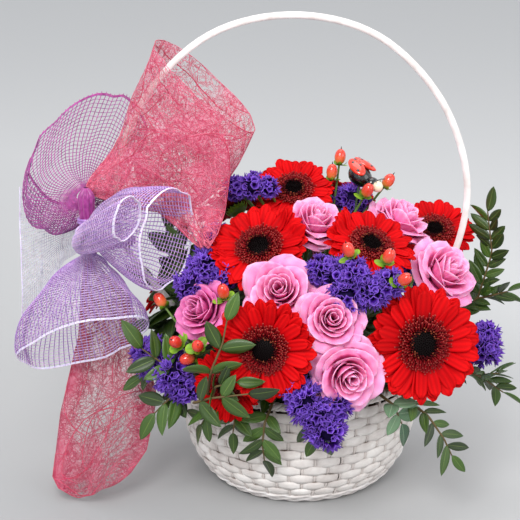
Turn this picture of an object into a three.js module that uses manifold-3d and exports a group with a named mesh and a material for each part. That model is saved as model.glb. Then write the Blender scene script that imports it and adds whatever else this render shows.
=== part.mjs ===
// Flower basket arrangement: a round basket of painted splints with an arched cane handle,
// filled with wet foam that holds gerberas, roses, statice, hypericum, a ladybird pick and greenery,
// and a ribbon bow of mesh and web tied to the left leg of the handle.
// Millimetres, +Z up. The origin is the centre of the basket's base, and the front looks along -Y.
import * as THREE from "three";
import { mergeGeometries, mergeVertices } from "three/addons/utils/BufferGeometryUtils.js";
import Module from "manifold-3d";

const wasm = await Module();
wasm.setup();

// Driving dimensions
const GAP = 0.35; // left between pieces that touch
const BLADE = 0.9; // thickness of a petal or a leaf
const RIBBON = 1.2; // thickness of a ribbon with its threads

const BASKET = {
  footRadius: 79,
  flare: 34.5, // how much wider the mouth is than the foot
  flareHeight: 25, // height in which most of the flare is reached
  height: 104,
  wall: 5,
  stakes: 28,
  rows: 14,
  rowHeight: 6.45,
  footHeight: 12,
  weave: 1.7, // how far a splint stands out over a stake
};
const RIM = { inner: 107.2, outer: 117.5, low: 104.35, high: 113, lashing: 1.2 };
const BASE = { radius: 72.4, thickness: 5 };
const LINER = { thickness: 1, low: 5.4, high: 100 };
const FOAM = { low: 6.8, high: 140, grip: 50, footHeight: 100, footShare: 0.32 };

const HANDLE = {
  radius: 3.2,
  centreX: -8.5,
  footX: 103.2, // the feet stand just inside the rim
  arch: [
    [0, 441],
    [75, 423],
    [135, 364],
    [162, 288],
    [156, 226],
  ],
};

const COLOURS = {
  paintedSplint: "#e6e0de",
  clearFilm: "#c9d2d0",
  foam: "#4d6b45",
  gerbera: "#d3070f",
  gerberaHeart: "#2a0508",
  rose: "#e88cc0",
  deepRose: "#c85a9a",
  statice: "#4a2a9c",
  berry: "#e5402a",
  leaf: "#3f6b24",
  magentaMesh: "#b03a98",
  lilacMesh: "#b795d6",
  coralWeb: "#e0566e",
  ladybird: "#e23a1c",
};

const RADIAN = Math.PI / 180;

// A small generator of repeatable random numbers between 0 and 1
function seeded(seed) {
  let state = seed;
  return () => {
    state = (state * 1664525 + 1013904223) % 4294967296;
    return state / 4294967296;
  };
}

// The closed solid of a three.js geometry
function solidOf(geometry) {
  const bare = geometry.index ? geometry.toNonIndexed() : geometry.clone();
  bare.deleteAttribute("normal");
  bare.deleteAttribute("uv");
  const merged = mergeVertices(bare, 1e-3);
  return new wasm.Manifold(
    new wasm.Mesh({
      numProp: 3,
      vertProperties: merged.attributes.position.array,
      triVerts: new Uint32Array(merged.index.array),
    }),
  );
}

// The geometry of a solid, to be shown as a mesh
function geometryOf(solid) {
  const { vertProperties, triVerts } = solid.getMesh();
  const geometry = new THREE.BufferGeometry();
  geometry.setAttribute("position", new THREE.BufferAttribute(vertProperties, 3));
  geometry.setIndex(new THREE.BufferAttribute(triVerts, 1));
  geometry.computeVertexNormals();
  return geometry;
}

function joined(geometries) {
  return geometries.map(solidOf).reduce((whole, piece) => whole.add(piece));
}

// Each vertex of a geometry goes where the rule puts it
function reshaped(geometry, rule) {
  const spots = geometry.attributes.position;
  const spot = new THREE.Vector3();
  for (let i = 0; i < spots.count; i += 1) {
    spot.fromBufferAttribute(spots, i);
    const moved = rule(spot, i);
    spots.setXYZ(i, moved.x, moved.y, moved.z);
  }
  return geometry;
}

// A solid turned about Z. The profile holds [radius, height] points, up the outside first,
// and shape(radius, height, ring, column) may move each of them.
function turned(profile, columns, shape = (r, z) => [r, z]) {
  const points = profile.map(([r, z]) => new THREE.Vector2(r, z));
  return reshaped(new THREE.LatheGeometry(points, columns), (spot, i) => {
    const ring = i % profile.length;
    const column = Math.floor(i / profile.length) % columns;
    const [r, z] = shape(...profile[ring], ring, column);
    const turn = (2 * Math.PI * column) / columns;
    return new THREE.Vector3(r * Math.cos(turn), r * Math.sin(turn), z);
  });
}

// A bar through a list of points, with a radius at each of them
function bar(points, radii, sides) {
  const last = points.length - 1;
  const frames = [];
  let across = new THREE.Vector3(0.31, 0.87, 0.38);
  for (let i = 0; i <= last; i += 1) {
    const along = points[Math.min(i + 1, last)].clone().sub(points[Math.max(i - 1, 0)]).normalize();
    across = across.clone().addScaledVector(along, -across.dot(along)).normalize();
    frames.push([across, along.clone().cross(across)]);
  }
  return reshaped(new THREE.CylinderGeometry(1, 1, 1, sides, last), (spot) => {
    const i = Math.round((0.5 - spot.y) * last);
    const [u, v] = frames[i];
    return points[i].clone().addScaledVector(u, spot.x * radii[i]).addScaledVector(v, spot.z * radii[i]);
  });
}

// A thin sheet whose two faces are split into triangles alike. The rule gives the place of a corner
// from its two shares and its face, 0.5 or -0.5, and a closed sheet meets itself at the first share.
function thinSheet(columns, rows, closed, rule) {
  const face = (wide, high, flipped, placed) => {
    const plane = new THREE.PlaneGeometry(1, 1, wide, high);
    if (flipped) plane.index.array.reverse();
    return reshaped(plane, (spot) => placed(spot.x + 0.5, spot.y + 0.5));
  };
  const faces = [0.5, -0.5].map((side) => face(columns, rows, side < 0, (u, v) => rule(u, v, side)));
  const ends = [0, 1].map((v) => face(columns, 1, v === 1, (u, side) => rule(u, v, side - 0.5)));
  const edges = [0, 1].map((u) => face(rows, 1, u === 0, (v, side) => rule(u, v, side - 0.5)));
  return solidOf(mergeGeometries(closed ? [...faces, ...ends] : [...faces, ...ends, ...edges]));
}

// The unit vector of a direction given as [turn about Z from +X, lift above the ground], in degrees
function direction([turn, lift]) {
  const level = Math.cos(lift * RADIAN);
  return new THREE.Vector3(
    level * Math.cos(turn * RADIAN),
    level * Math.sin(turn * RADIAN),
    Math.sin(lift * RADIAN),
  );
}

// The placement of a head whose own +Z looks along a direction
function headPose(at, facing) {
  const outward = direction(facing);
  const side = new THREE.Vector3(0, 0, 1).cross(outward).normalize();
  const up = outward.clone().cross(side);
  return new THREE.Matrix4().makeBasis(side, up, outward).setPosition(...at);
}

// Basket

function wallRadius(z) {
  return BASKET.footRadius + BASKET.flare * (1 - Math.exp(-z / BASKET.flareHeight));
}

// Splints pass outside one stake and inside the next, and each row is shifted by one stake
function basketWall() {
  const { height, wall, stakes, rows, rowHeight, footHeight, weave } = BASKET;
  const profile = [
    [wallRadius(0), 0],
    [wallRadius(5) + 2, 5],
    [wallRadius(footHeight) + 0.5, footHeight - 0.5],
  ];
  const footRings = profile.length;
  for (let row = 0; row < rows; row += 1) {
    const low = footHeight + row * rowHeight;
    profile.push([wallRadius(low), low + 0.6], [wallRadius(low + rowHeight), low + rowHeight - 0.6]);
  }
  profile.push([wallRadius(height), height]);
  const outerRings = profile.length - 1;
  for (const z of [height, 44, 14]) profile.push([wallRadius(z) - wall, z]);
  profile.push([BASKET.footRadius - wall - 1, 0], profile[0]);
  return turned(profile, stakes, (r, z, ring, column) => {
    if (ring < footRings || ring >= outerRings) return [r, z];
    const row = Math.floor((ring - footRings) / 2);
    return [(row + column) % 2 ? r + weave : r - weave, z];
  });
}

// The lashing of the rim goes over and over, so every second column stands out
function basketRim() {
  const { inner, outer, low, high, lashing } = RIM;
  const profile = [
    [inner, low],
    [outer, low + 1],
    [outer - 1.5, high],
    [inner, high],
    [inner, low],
  ];
  return turned(profile, 2 * BASKET.stakes, (r, z, ring, column) => [
    r > inner && column % 2 ? r - lashing : r,
    z,
  ]);
}

function basketBase() {
  const { radius, thickness } = BASE;
  return turned(
    [
      [0, 0],
      [radius, 0],
      [radius, thickness],
      [0, thickness],
    ],
    BASKET.stakes / 2,
  );
}

// The liner and the foam follow the inside of the wall and leave room for the handle's feet
function insideRadius(z) {
  return wallRadius(z) - BASKET.wall - 2 * HANDLE.radius - 3.2;
}

function liner() {
  const { thickness, low, high } = LINER;
  const outside = [
    [0, low],
    [insideRadius(4), low],
    [insideRadius(26), 26],
    [insideRadius(60), 60],
    [insideRadius(high), high],
  ];
  const inside = outside.map(([r, z]) => [Math.max(0, r - thickness), z === low ? z + thickness : z]);
  return turned([...outside, ...inside.reverse()], BASKET.stakes / 2);
}

function foamBlock() {
  const { low, high } = FOAM;
  const play = LINER.thickness + 0.5;
  const profile = [
    [0, low],
    [insideRadius(4) - play, low],
    [insideRadius(26) - play, 26],
    [insideRadius(60) - play, 60],
    [insideRadius(100) - play, 104],
    [insideRadius(100) - play - 3, 122],
    [insideRadius(100) - play - 28, high],
    [0, high],
  ];
  return turned(profile, BASKET.stakes / 2);
}

// Half of the arch is given, the other half mirrors it, and both feet go down inside the wall
function handleCurve() {
  const { centreX, footX, arch } = HANDLE;
  const half = (side) => arch.map(([x, z]) => new THREE.Vector3(centreX + side * x, 0, z));
  const foot = (side) => [
    new THREE.Vector3(side * (footX + 14), 0, 158),
    new THREE.Vector3(side * (footX - 0.5), 0, 122),
    new THREE.Vector3(side * (footX - 0.5), 0, 100),
    new THREE.Vector3(side * (footX - 6.5), 0, 42),
  ];
  const left = [...half(-1), ...foot(-1)].reverse();
  const right = [...half(1), ...foot(1)].slice(1);
  return new THREE.CatmullRomCurve3([...left, ...right], false, "centripetal");
}

function handleBar(radius) {
  const points = handleCurve().getSpacedPoints(32);
  return bar(points, points.map(() => radius), 6);
}

// Stems

const holes = [];

// A stem stands straight in the foam, then curves to a head that looks along its facing.
// Its receptacle holds [distance past the neck, radius] pairs.
function headStem(at, facing, depth, radius, receptacle) {
  const outward = direction(facing);
  const neck = new THREE.Vector3(...at).addScaledVector(outward, -depth);
  const foot = new THREE.Vector3(at[0] * FOAM.footShare, at[1] * FOAM.footShare, FOAM.footHeight);
  const along = neck.clone().sub(foot).normalize();
  const exit = foot.clone().addScaledVector(along, FOAM.grip);
  const reach = exit.distanceTo(neck) * 0.45;
  const curve = new THREE.CubicBezierCurve3(
    exit,
    exit.clone().addScaledVector(along, reach),
    neck.clone().addScaledVector(outward, -reach),
    neck,
  );
  holes.push({ foot, exit, radius });
  const points = [foot, exit, curve.getPoint(0.5), neck];
  const radii = points.map(() => radius);
  for (const [reachOut, wide] of receptacle) {
    points.push(neck.clone().addScaledVector(outward, reachOut));
    radii.push(wide);
  }
  return bar(points, radii, 5);
}

// A branch through given places, the first two of which are its straight part in the foam
function branch(places, radius, sides) {
  const points = places.map((place) => (place.isVector3 ? place : new THREE.Vector3(...place)));
  const radii = points.map((point, i) => radius * (1 - (0.5 * i) / points.length));
  return bar(points, radii, sides);
}

function standsInFoam(places, radius) {
  const [foot, exit] = places.map((place) => new THREE.Vector3(...place));
  holes.push({ foot, exit, radius });
}

function foam() {
  return holes.reduce((block, { foot, exit, radius }) => {
    const along = exit.clone().sub(foot).normalize();
    const wide = (radius + GAP) / Math.cos(Math.PI / 4);
    const ends = [foot.clone().addScaledVector(along, -1), exit.clone().addScaledVector(along, 4)];
    return block.subtract(solidOf(bar(ends, [wide, wide], 4)));
  }, solidOf(foamBlock()));
}

// Roses: an open head of overlapping petals in layers round a bud, on a calyx

const ROSES = {
  rose_front_centre: { at: [-22, -122, 226], facing: [-97, 36], radius: 28 },
  rose_front_middle: { at: [24, -143, 207], facing: [-82, 30], radius: 25 },
  rose_front_low: { at: [40, -158, 158], facing: [-78, 5], radius: 28 },
  rose_front_left: { at: [-94, -108, 202], facing: [-130, 30], radius: 24 },
  rose_top: { at: [14, -46, 268], facing: [-60, 62], radius: 26 },
  rose_top_right: { at: [98, 2, 256], facing: [-10, 60], radius: 26 },
  rose_right: { at: [136, -44, 218], facing: [-42, 42], radius: 29 },
  rose_back_right: { at: [42, 128, 186], facing: [78, 25], radius: 29 },
  rose_back_left: { at: [-92, 104, 184], facing: [130, 28], radius: 29 },
};
// Rings of the head for a radius of 30: radius, height and how many petals lap in that layer
const ROSE_RINGS = [
  [0, -27, 0],
  [17, -19, 4],
  [27, -10, 4],
  [30, 0, 4],
  [20, -8, 0],
  [21.5, 4, 4],
  [14, -3, 0],
  [14, 8, 3],
  [8.5, 2, 0],
  [6.5, 9.5, 3],
  [0, 4, 0],
];
const ROSE_COLUMNS = 12;

function roseHead(radius) {
  const scale = radius / 30;
  const profile = ROSE_RINGS.map(([r, z]) => [r * scale, z * scale]);
  return turned(profile, ROSE_COLUMNS, (r, z, ring, column) => {
    const petals = ROSE_RINGS[ring][2];
    if (!petals) return [r, z];
    const lap = ((column + ring) * petals) / ROSE_COLUMNS;
    const share = lap - Math.floor(lap); // runs from the tucked edge of a petal to its free edge
    return [r * (0.95 + 0.1 * share), z + scale * 3.2 * Math.sin(Math.PI * share)];
  });
}

function rose({ at, facing, radius }) {
  const head = roseHead(radius).applyMatrix4(headPose(at, facing));
  return joined([head, headStem(at, facing, radius * 0.86, 2.1, [[4, 2.1]])]);
}

// Gerberas: two layers of blunt rays round a hub, on a hollow stem. The heart is a piece of its own.

const GERBERAS = {
  gerbera_top_left: { at: [-38, -68, 244], facing: [-108, 52], radius: 46, slope: 0.12, full: true },
  gerbera_top_right: { at: [60, -69, 246], facing: [-62, 59], radius: 43, slope: 0.12, full: true },
  gerbera_front_left: { at: [-34, -148, 180], facing: [-100, 15], radius: 46, slope: 0.14, full: true },
  gerbera_front_right: { at: [104, -116, 172], facing: [-72, 20], radius: 54, slope: 0.12, full: true },
  gerbera_crown: { at: [-6, 18, 272], facing: [-95, 58], radius: 40, slope: 0.14, full: true },
  gerbera_back_left: { at: [-62, 44, 250], facing: [130, 45], radius: 40, slope: 0.2 },
  gerbera_far_right: { at: [130, 38, 226], facing: [-90, 60], radius: 40, slope: 0.12 },
  gerbera_far_left: { at: [-126, 48, 170], facing: [160, 25], radius: 38, slope: 0.2 },
  gerbera_front_low: { at: [-66, -132, 140], facing: [-120, 0], radius: 34, slope: 0.25 },
  gerbera_back: { at: [36, 84, 240], facing: [75, 45], radius: 42, slope: 0.2 },
};
const HUB = 13;
const CUP = { depth: 11, radius: 10 }; // the green cup under the rays

// One layer of rays: a star outline with a thin blade's thickness, lifted outwards as a shallow cup
function rayLayer({ count, radius, lift, slope, turn, pointed }) {
  const outline = [];
  const pitch = (2 * Math.PI) / count;
  const corner = (r, angle) => outline.push(new THREE.Vector2(r * Math.cos(angle), r * Math.sin(angle)));
  for (let i = 0; i < count; i += 1) {
    const middle = turn + i * pitch;
    corner(HUB, middle - pitch / 2);
    corner(radius * (pointed ? 0.86 : 0.97), middle - pitch * 0.4);
    if (pointed) corner(radius, middle);
    corner(radius * (pointed ? 0.86 : 0.97), middle + pitch * 0.4);
  }
  const blade = new THREE.ExtrudeGeometry(new THREE.Shape(outline), { depth: BLADE, bevelEnabled: false });
  return reshaped(blade, (spot) => {
    const out = Math.max(0, Math.hypot(spot.x, spot.y) - HUB);
    spot.z += lift + slope * out;
    return spot;
  });
}

// What stands in the way of the rays, as balls: rose heads, clumps of statice and berries
function neighbours() {
  const heads = Object.values(ROSES).map(({ at, facing, radius }) => ({
    middle: new THREE.Vector3(...at).addScaledVector(direction(facing), -radius * 0.3),
    radius,
  }));
  const ball = ([x, y, z, radius = BERRY.radius]) => ({ middle: new THREE.Vector3(x, y, z), radius });
  const clumps = Object.values(STATICE).flatMap((spray) => spray.clumps.map(ball));
  const berries = Object.values(HYPERICUM).flatMap((spray) => spray.berries.map(ball));
  return [...heads, ...clumps, ...berries];
}

// Rays that would run into a neighbour bend forward or back, to the side of it that they are on
function bentClear(blade, pose, { facing, radius, slope }) {
  const outward = direction(facing);
  const balls = neighbours();
  return reshaped(blade, (spot) => {
    const out = Math.hypot(spot.x, spot.y);
    if (out < radius * 0.55) return spot;
    const probe = new THREE.Vector3(spot.x, spot.y, slope * (out - HUB)).applyMatrix4(pose);
    let bend = 0;
    for (const { middle, radius: reach } of balls) {
      const step = probe.clone().sub(middle).dot(outward) > 0 ? 1 : -1;
      while (bend < 8 && bend > -22 && probe.distanceTo(middle) < reach + 5) {
        probe.addScaledVector(outward, step);
        bend += step;
      }
    }
    spot.z += bend;
    return spot;
  });
}

function gerberaRays(flower) {
  const { at, facing, radius, slope, full } = flower;
  const pose = headPose(at, facing);
  const layers = [{ count: full ? 14 : 16, radius, lift: 0, slope, turn: 0.1, pointed: full }];
  if (full) layers.push({ count: 10, radius: radius * 0.8, lift: 1.8, slope: slope + 0.1, turn: 0.3 });
  const blades = layers.map((layer) => bentClear(rayLayer(layer), pose, flower).applyMatrix4(pose));
  const cup = [
    [CUP.depth - 1, CUP.radius],
    [CUP.depth + (full ? 2.3 : 0.5), CUP.radius],
  ];
  return joined([...blades, headStem(at, facing, CUP.depth, 2.5, cup)]);
}

// The heart of a gerbera: a low dome of disc florets inside a frill of short dark rays
function gerberaHeart({ at, facing, radius, slope, full }) {
  const lift = (full ? 1.8 : 0) + BLADE + 0.9;
  const rise = (r) => (full ? slope + 0.1 : slope) * Math.max(0, r - HUB);
  const frill = radius * 0.36;
  const profile = [
    [0, lift],
    [HUB, lift],
    [frill, lift + rise(frill) + 0.8],
    [frill * 0.7, lift + 4],
    [frill * 0.32, lift + 5],
    [0, lift + 3.2],
  ];
  const heart = turned(profile, 10, (r, z, ring, column) => {
    if (ring === 2 && column % 2) return [HUB + 1.5, lift + 0.6];
    return ring === 4 && column % 2 ? [r * 1.2, z - 1] : [r, z];
  });
  return solidOf(heart.applyMatrix4(headPose(at, facing)));
}

// Statice: clumps of small flared papery florets, each clump on a branch of one stem

const STATICE = {
  statice_left: { fork: [-62, -54, 172], clumps: [[-87, -72, 228, 14], [-78, -20, 236, 14]] },
  statice_centre: { fork: [34, -62, 180], clumps: [[30, -106, 230, 15], [58, -122, 222, 13]] },
  statice_front: { fork: [4, -112, 124], clumps: [[2, -154, 134, 16], [20, -156, 108, 15]] },
  statice_front_left: { fork: [-92, -72, 132], clumps: [[-118, -104, 140, 17], [-138, -70, 140, 16]] },
  statice_top: { fork: [0, 46, 190], clumps: [[-38, 74, 258, 15], [50, 38, 258, 14], [-2, 120, 214, 16]] },
  statice_right: { fork: [100, 30, 136], clumps: [[172, -30, 132, 15], [120, 96, 168, 18]] },
};

// Every second point of a ball stands out as a floret, and the points between are its core
function clump([x, y, z, radius], random) {
  const rings = 5;
  const columns = 8;
  const profile = [];
  for (let i = 0; i <= rings; i += 1) {
    const lift = (Math.PI * i) / rings;
    profile.push([Math.sin(lift), -Math.cos(lift)]);
  }
  const reach = Array.from({ length: rings * columns }, () => 0.92 + 0.16 * random());
  const core = turned(profile, columns, (r, height, ring, column) => {
    if (ring % rings === 0) return [0, height * radius * 0.8];
    const out = (ring + column) % 2 ? 0.62 : reach[ring * columns + column];
    return [r * radius * out, height * radius * out];
  });
  return core.rotateX(1.2 * random()).rotateZ(6 * random()).translate(x, y, z);
}

function statice({ fork, clumps }, seed) {
  const random = seeded(seed);
  const footPlace = [fork[0] * 0.5, fork[1] * 0.5, FOAM.footHeight];
  standsInFoam([footPlace, fork], 1.6);
  const stem = branch([footPlace, fork], 1.6, 5);
  const pieces = clumps.flatMap((place) => [
    branch([fork, place.slice(0, 3)], 1.3, 3),
    clump(place, random),
  ]);
  return joined([stem, ...pieces]);
}

// Hypericum: oval berries in small clusters, each berry on a stalk with a pair of sepals

const HYPERICUM = {
  hypericum_left: {
    fork: [-94, -86, 150],
    berries: [[-128, -70, 196], [-112, -116, 174], [-92, -130, 176]],
  },
  hypericum_front_left: {
    fork: [-60, -96, 164],
    berries: [[-70, -112, 220], [-66, -124, 200], [-102, -116, 158]],
  },
  hypericum_centre: {
    fork: [56, -98, 204],
    berries: [[38, -112, 258], [73, -114, 253], [86, -126, 236]],
  },
  hypericum_top: {
    fork: [26, 20, 200],
    berries: [[38, 40, 300], [30, 30, 288], [62, 2, 278], [84, 34, 278]],
  },
};
const BERRY = { radius: 5.4, length: 14.5, calyx: 5 };

// A stalk that opens into a calyx and ends in its oval berry
function berry(place, fork) {
  const root = new THREE.Vector3(...fork);
  const tip = new THREE.Vector3(...place);
  const along = tip.clone().sub(root).normalize();
  const seat = tip.clone().addScaledVector(along, -BERRY.length / 2);
  const points = [root];
  const radii = [1.2];
  const station = (share, radius) => {
    points.push(seat.clone().addScaledVector(along, share * BERRY.length));
    radii.push(radius);
  };
  station(-0.12, 1);
  station(0, BERRY.calyx);
  station(0.35, BERRY.radius);
  station(0.75, BERRY.radius * 0.8);
  station(1, 0.7);
  return bar(points, radii, 5);
}

function hypericum({ fork, berries }) {
  const footPlace = [fork[0] * 0.45, fork[1] * 0.45, FOAM.footHeight];
  standsInFoam([footPlace, fork], 1.5);
  const fruits = berries.map((place) => berry(place, fork));
  return joined([branch([footPlace, fork], 1.5, 5), ...fruits]);
}

// Greenery: thin stems with pairs of pointed leaflets

// Each stem: places from the foot in the foam outwards, and the way that its leaflets spread
const GREENERY = {
  greenery_right: {
    stems: [
      {
        places: [[62, 4, 104], [122, 6, 134], [170, 8, 168], [182, 10, 214], [176, 12, 254]],
        spread: [0.7, -0.7, 0],
      },
      { places: [[170, 8, 168], [196, -4, 180]], spread: [0, -0.6, 0.8] },
    ],
    leaf: [24, 9],
    pairs: 4,
  },
  greenery_low_right: {
    stems: [
      {
        places: [[58, -22, 104], [120, -42, 122], [164, -60, 118], [188, -58, 100]],
        spread: [0.2, -0.7, 0.7],
      },
      { places: [[164, -60, 118], [178, -88, 132]], spread: [0.9, 0.4, 0] },
    ],
    leaf: [24, 9],
    pairs: 4,
  },
  greenery_front_right: {
    stems: [
      {
        places: [[40, -50, 104], [84, -94, 119], [112, -120, 104], [126, -124, 84], [134, -120, 66]],
        spread: [0.8, 0.5, 0],
      },
    ],
    leaf: [22, 10],
    pairs: 4,
  },
  greenery_front: {
    stems: [
      {
        places: [[-14, -60, 104], [-26, -118, 119], [-34, -138, 106], [-36, -136, 84], [-34, -130, 66]],
        spread: [1, 0, 0],
      },
    ],
    leaf: [22, 10],
    pairs: 5,
  },
  greenery_left: {
    stems: [
      {
        places: [[-58, -30, 104], [-112, -50, 124], [-134, -54, 126], [-146, -52, 114]],
        spread: [0.1, 0.75, 0.65],
      },
      { places: [[-112, -50, 124], [-110, -94, 108]], spread: [0.9, -0.1, 0.3] },
    ],
    leaf: [24, 11],
    pairs: 4,
  },
  greenery_back: {
    stems: [
      {
        places: [[-10, 56, 104], [-24, 118, 122], [-40, 150, 150], [-44, 158, 190]],
        spread: [1, 0, 0],
      },
      { places: [[-24, 118, 122], [20, 158, 134], [56, 158, 150]], spread: [0, 0, 1] },
      { places: [[-24, 118, 122], [-80, 140, 120]], spread: [0, 0, 1] },
    ],
    leaf: [30, 13],
    pairs: 4,
  },
};
const LEAVES_FROM = 0.25; // share of a stem past the foam where its leaflets begin
const LEAF_LEAN = 0.9; // angle of a leaflet from its stem, in radians

function flatBlade(corners, thickness) {
  const shape = new THREE.Shape(corners.map(([x, y]) => new THREE.Vector2(x, y)));
  const blade = new THREE.ExtrudeGeometry(shape, { depth: thickness, bevelEnabled: false });
  return blade.translate(0, 0, -thickness / 2);
}

// Two leaflets that meet at the stem, which runs along +X
function leafletPair(length, width) {
  const leaflet = (hand) => {
    const spot = (out, side) => [
      out * length * Math.cos(LEAF_LEAN) - side * width * Math.sin(LEAF_LEAN),
      hand * (out * length * Math.sin(LEAF_LEAN) + side * width * Math.cos(LEAF_LEAN)),
    ];
    return [spot(0.4, 0.5), spot(1, 0), spot(0.5, -0.5)];
  };
  return flatBlade([[-2.4, 0], ...leaflet(-1), [3, 0], ...leaflet(1).reverse()], BLADE);
}

function tipLeaflet(length, width) {
  return flatBlade([[-2, 0], [0.4 * length, -width / 2], [length, 0], [0.4 * length, width / 2]], BLADE);
}

function leafyStem(points, path, spread, { leaf, pairs }, radius, random) {
  const [length, width] = leaf;
  const place = (blade, share) => {
    const along = path.getTangentAt(share);
    const across = new THREE.Vector3(...spread);
    across.addScaledVector(along, -across.dot(along)).normalize();
    const pose = new THREE.Matrix4().makeBasis(along, across, along.clone().cross(across));
    return blade.applyMatrix4(pose.setPosition(path.getPointAt(share)));
  };
  const most = Math.floor((path.getLength() * (1 - LEAVES_FROM)) / (1.7 * width));
  const count = Math.max(1, Math.min(pairs, most));
  const blades = [place(tipLeaflet(length, width), 1)];
  for (let i = 0; i < count; i += 1) {
    const size = length * (0.85 + 0.3 * random());
    blades.push(place(leafletPair(size, width), LEAVES_FROM + ((1 - LEAVES_FROM) * i) / count));
  }
  return [branch(points, radius, 3), ...blades];
}

function greenery(spray, seed) {
  const random = seeded(seed);
  standsInFoam(spray.stems[0].places, 1.7);
  const pieces = spray.stems.flatMap(({ places, spread }, i) => {
    const points = places.map((place) => new THREE.Vector3(...place));
    const path = new THREE.CurvePath();
    for (let n = i ? 1 : 2; n < points.length; n += 1) {
      path.add(new THREE.LineCurve3(points[n - 1], points[n]));
    }
    return leafyStem(points, path, spread, spray, i ? 1.4 : 1.7, random);
  });
  return joined(pieces);
}

// Ladybird pick: a black body under two raised wing cases, a round head, and a wire in the foam

const LADYBIRD = { at: [56, 22, 286], facing: [-40, 62], body: [9, 12, 8] };

function ladybird() {
  const { at, facing, body } = LADYBIRD;
  const pose = headPose(at, facing);
  const trunk = new THREE.SphereGeometry(1, 7, 5).scale(...body);
  const head = new THREE.SphereGeometry(6.2, 7, 5).translate(0, -15, 3);
  const wings = [-1, 1].map((side) =>
    new THREE.SphereGeometry(1, 6, 4)
      .scale(6.5, 12, 3)
      .rotateY(side * 0.35)
      .rotateZ(side * 0.3)
      .translate(side * 6, 4, 8),
  );
  const local = [trunk, head, ...wings].map((piece) => piece.applyMatrix4(pose));
  const footPlace = [14, 6, FOAM.footHeight];
  const exit = [34, -4, 160];
  standsInFoam([footPlace, exit], 1);
  return joined([...local, branch([footPlace, exit, at], 1, 5)]);
}

// Bow: loops of mesh ribbon and a sleeve of web, gathered on a tie at the handle's left leg

const TIE = { x: -197, y: -18, low: 206, high: 286, radius: 8 };

function tieKnot(extra) {
  const { x, y, low, high, radius } = TIE;
  const wide = radius + extra;
  const profile = [
    [0, low - extra],
    [wide * 0.7, low - extra],
    [wide, low + 12],
    [wide * 0.8, (low + high) / 2],
    [wide, high - 12],
    [wide * 0.7, high + extra],
    [0, high + extra],
  ];
  return turned(profile, 10).translate(x, y, 0);
}

// The cord of the tie goes round the knot and the handle together
function tieLoop(height, extra) {
  const spots = handleCurve().getSpacedPoints(400).slice(0, 200);
  const miss = (spot) => Math.abs(spot.z - height);
  const leg = spots.reduce((best, spot) => (miss(spot) < miss(best) ? spot : best));
  const across = new THREE.Vector3(leg.x - TIE.x, leg.y - TIE.y, 0);
  const cord = 1.6;
  const long = across.length() / 2 + HANDLE.radius + 3.4 * cord;
  const wide = HANDLE.radius + 5 * cord;
  return reshaped(new THREE.TorusGeometry(2, 1, 4, 8), (spot) => {
    const turn = Math.atan2(spot.y, spot.x);
    const out = (Math.hypot(spot.x, spot.y) - 2) * (cord + extra);
    return new THREE.Vector3(
      (long + out) * Math.cos(turn),
      (wide + out) * Math.sin(turn),
      (cord + extra) * spot.z,
    );
  })
    .rotateZ(Math.atan2(across.y, across.x))
    .translate((leg.x + TIE.x) / 2, (leg.y + TIE.y) / 2, height);
}

// The knot with its two loops of cord, or the room that it needs
function tie(extra) {
  return joined([tieKnot(extra), tieLoop(254, extra), tieLoop(228, extra)]);
}

// A loop of ribbon: from its gather at the tie it widens like a trumpet to an open oval end.
// The ends of the oval's two half axes are given as offsets from its centre.
const LOOPS = {
  mesh_magenta_loop: {
    from: [-201, -13, 278],
    to: [-198, 29, 312],
    across: [51, 18, 6],
    deep: [9, 20, 45],
    belly: [-17, -9, -18],
    colour: COLOURS.magentaMesh,
  },
  mesh_lilac_upper_loop: {
    from: [-193, -24, 254],
    to: [-120, -72, 256],
    across: [-22, -34, 2],
    deep: [4, -4, 49],
    belly: [0, -8, 4],
    colour: COLOURS.lilacMesh,
  },
  mesh_lilac_small_loop: {
    from: [-200, -25, 240],
    to: [-150, -126, 290],
    across: [-10, -12, 2],
    deep: [4, -8, 22],
    belly: [-16, -14, -4],
    colour: COLOURS.lilacMesh,
  },
  mesh_lilac_lower_loop: {
    from: [-199, -24, 222],
    to: [-200, -54, 148],
    across: [60, -8, 22],
    deep: [8, 24, -26],
    belly: [-4, -14, 6],
    colour: COLOURS.lilacMesh,
  },
  coral_web_sleeve: {
    from: [-192, -12, 280],
    to: [-88, 0, 378],
    across: [47, 0, -42],
    deep: [3, 30, 6],
    belly: [6, 6, -34],
    colour: COLOURS.coralWeb,
  },
};
const LOOP_RINGS = 5;
const LOOP_COLUMNS = 12;

// The widths of a loop grow fast at the gather and slowly at the open end
function loopSurface({ from, to, across, deep, belly }, share, turn) {
  const middle = new THREE.Vector3(...from).lerp(new THREE.Vector3(...to), share);
  middle.addScaledVector(new THREE.Vector3(...belly), Math.sin(Math.PI * share));
  const wide = 0.1 + 0.9 * Math.sin((Math.PI / 2) * share) ** 0.8;
  middle.addScaledVector(new THREE.Vector3(...across), wide * Math.cos(turn));
  return middle.addScaledVector(new THREE.Vector3(...deep), wide * Math.sin(turn));
}

function loopPoint(loop, share, turn, offset) {
  const near = 0.02;
  const byTurn = loopSurface(loop, share, turn + near).sub(loopSurface(loop, share, turn - near));
  const byShare = loopSurface(loop, Math.min(1, share + near), turn);
  byShare.sub(loopSurface(loop, Math.max(0, share - near), turn));
  return loopSurface(loop, share, turn).addScaledVector(byTurn.cross(byShare).normalize(), offset);
}

function ribbonLoop(loop) {
  return thinSheet(LOOP_COLUMNS, LOOP_RINGS, true, (u, v, side) =>
    loopPoint(loop, v, 2 * Math.PI * (u % 1), side * RIBBON),
  );
}

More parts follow.
